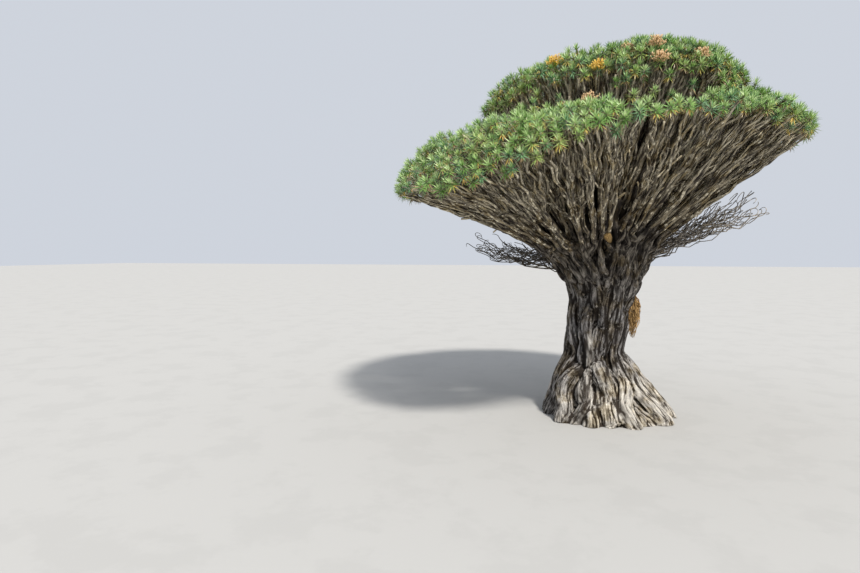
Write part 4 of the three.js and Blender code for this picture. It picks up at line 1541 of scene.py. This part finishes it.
def rosette_leaves(growth, sizes):
    """Every leaf of every rosette, row by row: where it starts, its way, its rank and sizes."""
    place = np.array([path["place"] for path in growth])
    onward = np.array([path["onward"] for path in growth])
    number = np.array([path["number"] for path in growth])
    axis = unit(onward + ROSETTE_UPTURN * UP)
    aside, beyond = square_to(axis, np.array([0.3, 1.0, 0.1]))
    leaf = np.arange(sizes.leaves)
    rank = (leaf + 0.5) / sizes.leaves
    code = number[:, None] * 71 + leaf
    turn = 2 * math.pi * chance(number, CROWN_SEED + 5)[:, None] + leaf * GOLDEN_ANGLE
    stray = LEAF_STRAY * signed_chance(code, 61)
    rise = np.radians(mix(LEAF_STEEPEST, LEAF_LOWEST, rank**0.85)[None] + stray)
    out = np.cos(turn)[..., None] * aside[:, None] + np.sin(turn)[..., None] * beyond[:, None]
    way = out * np.cos(rise)[..., None] + axis[:, None] * np.sin(rise)[..., None]
    flat = np.cross(way, axis[:, None])
    flat = unit(flat + LEAF_TWIST * axis[:, None] * signed_chance(code, 63)[..., None])
    step = 0.02 - ROSETTE_DEPTH * rank
    base = place[:, None] + axis[:, None] * step[None, :, None] + out * sizes.twig_radius * 0.5
    own_size = mix(ROSETTE_SMALLEST, ROSETTE_LARGEST, chance(number, 65))[:, None]
    size = own_size * (0.72 + 0.28 * np.sin(math.pi * rank))
    length = sizes.leaf_length * size * mix(LEAF_SHORTEST, LEAF_LONGEST, chance(code, 67))
    width = sizes.leaf_width * mix(LEAF_NARROWEST, LEAF_WIDEST, chance(code, 69))
    droop = 0.05 + LEAF_DROOP * rank**2 * chance(code, 73)
    rank = np.broadcast_to(rank, length.shape)
    return base, way, flat, length, width, droop, rank, number


def leaf_kinds(rank, number):
    """Which colour each leaf has: each spray has its tone, the heart holds the youngest leaves,
    paler and painted highlit, in most sprays, and old leaves hang under some of them."""
    spray = np.broadcast_to(number[:, None], rank.shape)
    tone = chance(spray, 81)
    kind = np.where(tone < BLUE_UP_TO, 1, np.where(tone < GREEN_UP_TO, 2, 3))
    heart = mix(0.1, 0.42, chance(spray, 87))
    kind = np.where(rank < heart, 0, kind)
    kind = np.where((rank > YELLOW_RANK) & (chance(spray, 83) < YELLOW_SHARE), 4, kind)
    return np.where((rank > DRY_RANK) & (chance(spray, 85) < DRY_SHARE), 5, kind)


class DRAGONTREE_OT_leaves(bpy.types.Operator):
    """Grows the rosettes of leaves, one piece for each leaf colour"""

    bl_idname = "dragontree.leaves"
    bl_label = "Leaves"

    def execute(self, context):
        sizes = context.scene.dragon_tree_crown
        colours = context.scene.dragon_tree_leaf_colours
        growth = leafy_paths(sizes)
        *parts, rank, number = rosette_leaves(growth, sizes)
        kind = leaf_kinds(rank, number)
        finishes = [
            # The youngest leaves' finish carries a painted highlight
            ("leaves_young_highlit", colours.young_highlit, (0.68, 0.76, 0.44)),
            ("leaves_blue", colours.blue, (0.24, 0.40, 0.22)),
            ("leaves_green", colours.green, (0.30, 0.44, 0.12)),
            ("leaves_olive", colours.olive, (0.48, 0.54, 0.22)),
            ("leaves_yellow", colours.yellow, (0.66, 0.36, 0.07)),
            ("leaves_dry", colours.dry, (0.22, 0.13, 0.07)),
        ]
        for index, (name, colour, change) in enumerate(finishes):
            chosen = kind == index
            points, faces = leaf_blades(*[part[chosen] for part in parts])
            piece = mesh_object(name, points, [faces], leaf_material(name, colour, change, 0.5))
            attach(piece, "root")
            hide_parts(*FOLIAGE_NODES)
        return {"FINISHED"}


def source_fruit_tips():
    """The directions of the rosettes that carry fruit sprays in the solids."""
    _, angle, _, way = crown_directions(SOURCE_ROSETTES, 0.0, RIM_SPREAD, ROSETTE_SCATTER)
    chosen = (np.arange(SOURCE_ROSETTES) % FRUIT_EVERY == 0) & (angle < TIER_ANGLE)
    return way[chosen]


def seen_tips(places):
    """The directions of fruit sprays that the photograph shows."""
    turn, lean = np.radians(places).T
    return around(turn, np.sin(lean), np.cos(lean))


def fruit_spray(tubes, place, axis, length, seed):
    """A branching spray of stalks and small fruit, as short tubes."""
    place = place - axis * FRUIT_SEAT
    stalk = [place, place + axis * length * 0.5, place + axis * length]
    tubes.add(*smooth_path(stalk, FRUIT_STALK_RADII, 3))
    side, other = square_to(axis, np.array([0.2, 1.0, 0.3]))
    for branch in range(FRUIT_BRANCHES):
        share = 0.2 + 0.78 * branch / FRUIT_BRANCHES
        turn = branch * GOLDEN_ANGLE
        out = side * math.cos(turn) + other * math.sin(turn)
        root = place + axis * length * share
        reach = FRUIT_RADIUS * (1.7 - share) * mix(0.7, 1.25, chance(branch, seed))
        tip = root + out * reach + axis * reach * 0.45
        middle = mix(root, tip, 0.5) + axis * 0.03
        tubes.add(np.array([root, middle, tip]), FRUIT_BRANCH_RADII)
        for berry in range(FRUIT_BERRIES):
            spot = mix(root, tip, mix(0.3, 1.0, berry / (FRUIT_BERRIES - 1)))
            code = branch * 19 + berry
            jitter = BERRY_SCATTER * np.array([signed_chance(code, seed + k) for k in (1, 2, 3)])
            tubes.add(np.array([spot, spot + jitter + axis * BERRY_LENGTH]), BERRY_RADII)


class DRAGONTREE_OT_fruit(bpy.types.Operator):
    """Grows the golden and the spent fruit sprays that stand over the upper tier"""

    bl_idname = "dragontree.fruit"
    bl_label = "Fruit sprays"

    def execute(self, context):
        sizes = context.scene.dragon_tree_crown
        colours = context.scene.dragon_tree_leaf_colours
        growth = leafy_paths(sizes)
        places = np.array([path["place"] for path in growth])
        ways = unit(places - CROWN_CENTRE)
        chosen = [int(np.argmax(ways @ way)) for way in source_fruit_tips()]
        steep = ways[:, 2] > math.cos(TIER_ANGLE)
        lot = chance(np.arange(len(growth)), 91) < FRUIT_EXTRA_SHARE
        chosen += [int(index) for index in np.flatnonzero(steep & lot)]
        finishes = [
            ("fruit_sprays", GOLDEN_SEEN, colours.fruit, (0.72, 0.40, 0.07)),
            ("spent_sprays", SPENT_SEEN, colours.spent, (0.50, 0.30, 0.14)),
        ]
        for kind, (name, seen, colour, change) in enumerate(finishes):
            tubes = Tubes(4)
            own = [int(np.argmax(ways @ way)) for way in seen_tips(seen)]
            for index in own + chosen[kind::2]:
                axis = unit(growth[index]["onward"] + ROSETTE_UPTURN * UP)
                size = mix(FRUIT_SMALLEST, FRUIT_LARGEST, chance(index, 93))
                fruit_spray(tubes, places[index], axis, FRUIT_LENGTH * size, index)
            piece = tubes.piece(name, leaf_material(name, colour, change, 0.5))
            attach(piece, "root")
        return {"FINISHED"}


# What hangs beside the trunk


def curled(path, seed):
    """A bare twig's path that sags along its way and curls up or round at its end."""
    points, radii = smooth_path(path["points"], path["radii"], 2)
    along = path_lengths(points)
    share = along / along[-1]
    points[:, 2] -= BARE_SAG * np.sin(math.pi * share**1.5) * along[-1] / 6
    way = unit(points[-1] - points[-3])
    side = unit(np.cross(way, UP)) * (1 if chance(seed, 3) < 0.5 else -1)
    tilt = mix(-0.6, 1.0, chance(seed, 5))
    other = unit(UP * tilt + side * (1 - abs(tilt)))
    size = BARE_CURL * mix(0.5, 1.2, chance(seed, 7))
    turn = np.linspace(0, math.pi * mix(0.6, 1.5, chance(seed, 9)), 9)[1:, None]
    hook = points[-1] + size * (way * np.sin(turn) + other * (1 - np.cos(turn)))
    thin = np.linspace(radii[-1], 0.6 * radii[-1], len(hook))
    return np.vstack([points, hook]), np.append(radii, thin)


def bare_paths(mass, tips, radius):
    """Bare forking twigs from the trunk's far side, tangled under the crown's rim."""
    index = np.arange(tips)
    azimuth = np.radians(mass["azimuth"] + BARE_ARC * signed_chance(index, mass["seed"]))
    reach = mass["reach"] * mix(BARE_NEAR, 0.92, chance(index, mass["seed"] + 1))
    below = mix(BARE_HIGH_ANGLE, BARE_LOW_ANGLE, chance(index, mass["seed"] + 2))
    angle = rim_angle(azimuth) + np.radians(below)
    places = CROWN_CENTRE + around(azimuth, np.sin(angle), np.cos(angle)) * reach[:, None]
    form = {
        "radius": radius, "growth": BARE_GROWTH, "bend": BARE_BEND, "seed": mass["seed"],
        "early": BARE_EARLY, "wave": BARE_WAVE, "wave_step": BARE_WAVE_STEP,
    }
    ended = []
    groups = [quarter for half in halves(places, index) for quarter in halves(*half)]
    for branch, (ends, numbers) in enumerate(half for group in groups for half in halves(*group)):
        middle = ends.mean(axis=0)
        turn = mix(math.radians(mass["azimuth"]), math.atan2(middle[1], middle[0]), 0.8)
        height = BARE_ROOT_HEIGHT + BARE_ROOT_SPREAD * chance(branch, mass["seed"] + 4)
        root = around(turn, SIDE_ROOT_DEPTH, height)
        stem = {"points": [root], "radii": [radius * len(numbers) ** BARE_GROWTH]}
        grow_twigs(ends, numbers, stem, root, unit(around(turn, 1.0, 0.5)), form, ended)
    return [curled(path, path["number"] + mass["seed"]) for path in ended]


class DRAGONTREE_OT_bare_twigs(bpy.types.Operator):
    """Grows the bare twigs that hang behind the trunk, one piece for each side"""

    bl_idname = "dragontree.bare_twigs"
    bl_label = "Bare twigs"

    def execute(self, context):
        sizes = context.scene.dragon_tree_sides
        bark = context.scene.dragon_tree_trunk
        for mass in BARE_MASSES:
            name = f"hanging_{mass['name']}"
            material = bark_material(
                name, [mass["tone"] * part for part in bark.ridge_colour],
                bark.furrow_and_shade_colour, bark.lichen_colour,
                [mass["tone"] * part for part in bark.pale_and_sunfleck_colour],
                scale=3.0, cover=0.4, bump=0.006,
            )
            tubes = Tubes(SIDE_TUBE_SIDES)
            for line, radii in bare_paths(mass, sizes.bare_tips, sizes.bare_radius):
                tubes.add(line, radii)
            piece = tubes.piece(name, material)
            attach(piece, "root")
            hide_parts(mass["name"])
        return {"FINISHED"}


class DRAGONTREE_OT_aerial_roots(bpy.types.Operator):
    """Hangs the tuft of aerial roots on the right of the trunk"""

    bl_idname = "dragontree.aerial_roots"
    bl_label = "Aerial roots"

    def execute(self, context):
        sizes = context.scene.dragon_tree_sides
        head = around(TUFT_AZIMUTH, TUFT_OUT, TUFT_TOP)
        inside = around(TUFT_AZIMUTH, SIDE_ROOT_DEPTH, TUFT_TOP + TUFT_RISE)
        tubes = Tubes(SIDE_TUBE_SIDES)
        share = np.linspace(0, 1, TUFT_STEPS)[:, None]
        for index in range(sizes.roots):
            spread = TUFT_RADIUS * math.sqrt((index + 0.3) / sizes.roots)
            spot = around(index * GOLDEN_ANGLE, spread, 0.0) * TUFT_SHAPE
            lower = TUFT_HEAD_DEPTH * chance(index, CROWN_SEED + 12)
            top = head + TUFT_HEAD_SPREAD * spot - UP * lower
            foot = head + TUFT_FOOT_SPREAD * spot
            foot[2] = TUFT_FOOT + TUFT_RAGGED * chance(index, CROWN_SEED + 9)
            line = mix(top, foot, share) + spot * np.sin(math.pi * share**1.1)
            code = np.arange(TUFT_STEPS) + index * 17
            line[:, 0] += TUFT_WOBBLE * signed_chance(code, 101)
            line[:, 1] += TUFT_WOBBLE * signed_chance(code, 103)
            arch = [inside + 0.4 * spot, mix(inside, top, 0.6) + UP * 0.1]
            radii = np.append([1.6, 1.5], mix(1.3, 0.45, share[:, 0])) * sizes.root_radius
            tubes.add(*smooth_path(np.vstack([arch, line]), radii, 2))
        colour = sizes.root_colour
        material = bark_material(
            "root_fibre", colour, [0.12 * part for part in colour], (0.3, 0.2, 0.1),
            sizes.root_tip_and_sunfleck_colour, scale=3.0, cover=0.75, bump=0.006,
        )
        piece = tubes.piece("aerial_root_tuft", material)
        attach(piece, "root")
        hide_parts("aerial_roots")
        return {"FINISHED"}


# Stage


def floor_material(colour):
    material, tree, shader = new_material("pale_floor", 0.9, 0.2)
    patches = use_group(tree, patch_group(), Vector=object_places(tree), Scale=0.4, Cover=0.5)
    shade = [0.96 * part for part in colour]
    tone = add_mix(tree, patches.outputs["Mask"], colour, shade)
    tree.links.new(tone, shader.inputs["Base Color"])
    return material


class DRAGONTREE_OT_stage(bpy.types.Operator):
    """Sets the camera where the photograph was taken, with a plain floor and soft light"""

    bl_idname = "dragontree.stage"
    bl_label = "Stage"

    def execute(self, context):
        sizes = context.scene.dragon_tree_stage
        camera = bpy.data.cameras.new("camera")
        camera.sensor_width = SENSOR_WIDTH
        camera.lens = SENSOR_WIDTH * FOCAL_PIXELS / IMAGE_WIDTH
        camera.clip_end = 2 * sizes.floor_size
        eye = add_object("camera", camera)
        eye.location = CAMERA_PLACE
        eye.rotation_euler = (math.pi / 2 - CAMERA_PITCH, 0, CAMERA_YAW)
        context.scene.camera = eye
        half = sizes.floor_size / 2
        corners = np.array([(-half, -half, 0), (half, -half, 0), (half, half, 0), (-half, half, 0)])
        finish = floor_material(sizes.floor_colour)
        floor = mesh_object("floor", corners, [np.array([[0, 1, 2, 3]])], finish)
        lamp = bpy.data.lights.new("sun", "SUN")
        lamp.energy = sizes.sun_strength
        lamp.angle = SUN_SPREAD
        lamp.color = SUN_COLOUR
        sun = add_object("sun", lamp)
        sun.rotation_euler = (math.pi / 2 - SUN_HEIGHT, 0, SUN_AZIMUTH + math.pi / 2)
        world = bpy.data.worlds.new("even_light")
        world.use_nodes = True
        background = next(node for node in world.node_tree.nodes if node.type == "BACKGROUND")
        background.inputs["Color"].default_value = SKY_COLOUR
        background.inputs["Strength"].default_value = sizes.sky_strength
        context.scene.world = world
        context.scene.view_settings.view_transform = "Standard"
        return {"FINISHED"}


class DRAGONTREE_PT_panel(bpy.types.Panel):
    """Lists the tree's settings and the buttons that make its pieces"""

    bl_label = "Dragon blood tree"
    bl_idname = "DRAGONTREE_PT_panel"
    bl_space_type = "VIEW_3D"
    bl_region_type = "UI"
    bl_category = "Dragon tree"

    def draw(self, context):
        for name, group in GROUPS.items():
            box = self.layout.box()
            box.label(text=group.__name__)
            settings = getattr(context.scene, name)
            for label in group.__annotations__:
                box.prop(settings, label)
        for operator in OPERATORS:
            self.layout.operator(operator.bl_idname)


GROUPS = {
    "dragon_tree_trunk": DragonTreeTrunk,
    "dragon_tree_crown": DragonTreeCrown,
    "dragon_tree_leaf_colours": DragonTreeLeafColours,
    "dragon_tree_sides": DragonTreeSides,
    "dragon_tree_stage": DragonTreeStage,
}
OPERATORS = [
    DRAGONTREE_OT_stage,
    DRAGONTREE_OT_trunk,
    DRAGONTREE_OT_cut_stub,
    DRAGONTREE_OT_twigs,
    DRAGONTREE_OT_leaves,
    DRAGONTREE_OT_fruit,
    DRAGONTREE_OT_bare_twigs,
    DRAGONTREE_OT_aerial_roots,
]


def register():
    for made in (*GROUPS.values(), *OPERATORS, DRAGONTREE_PT_panel):
        bpy.utils.register_class(made)
    for name, group in GROUPS.items():
        setattr(bpy.types.Scene, name, bpy.props.PointerProperty(type=group))


def unregister():
    for name in GROUPS:
        delattr(bpy.types.Scene, name)
    for made in reversed((*GROUPS.values(), *OPERATORS, DRAGONTREE_PT_panel)):
        bpy.utils.unregister_class(made)


def main():
    register()
    bpy.ops.dragontree.stage()
    bpy.ops.dragontree.trunk()
    bpy.ops.dragontree.cut_stub()
    bpy.ops.dragontree.twigs()
    bpy.ops.dragontree.leaves()
    bpy.ops.dragontree.fruit()
    bpy.ops.dragontree.bare_twigs()
    bpy.ops.dragontree.aerial_roots()
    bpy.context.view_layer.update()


if __name__ == "__main__":
    main()
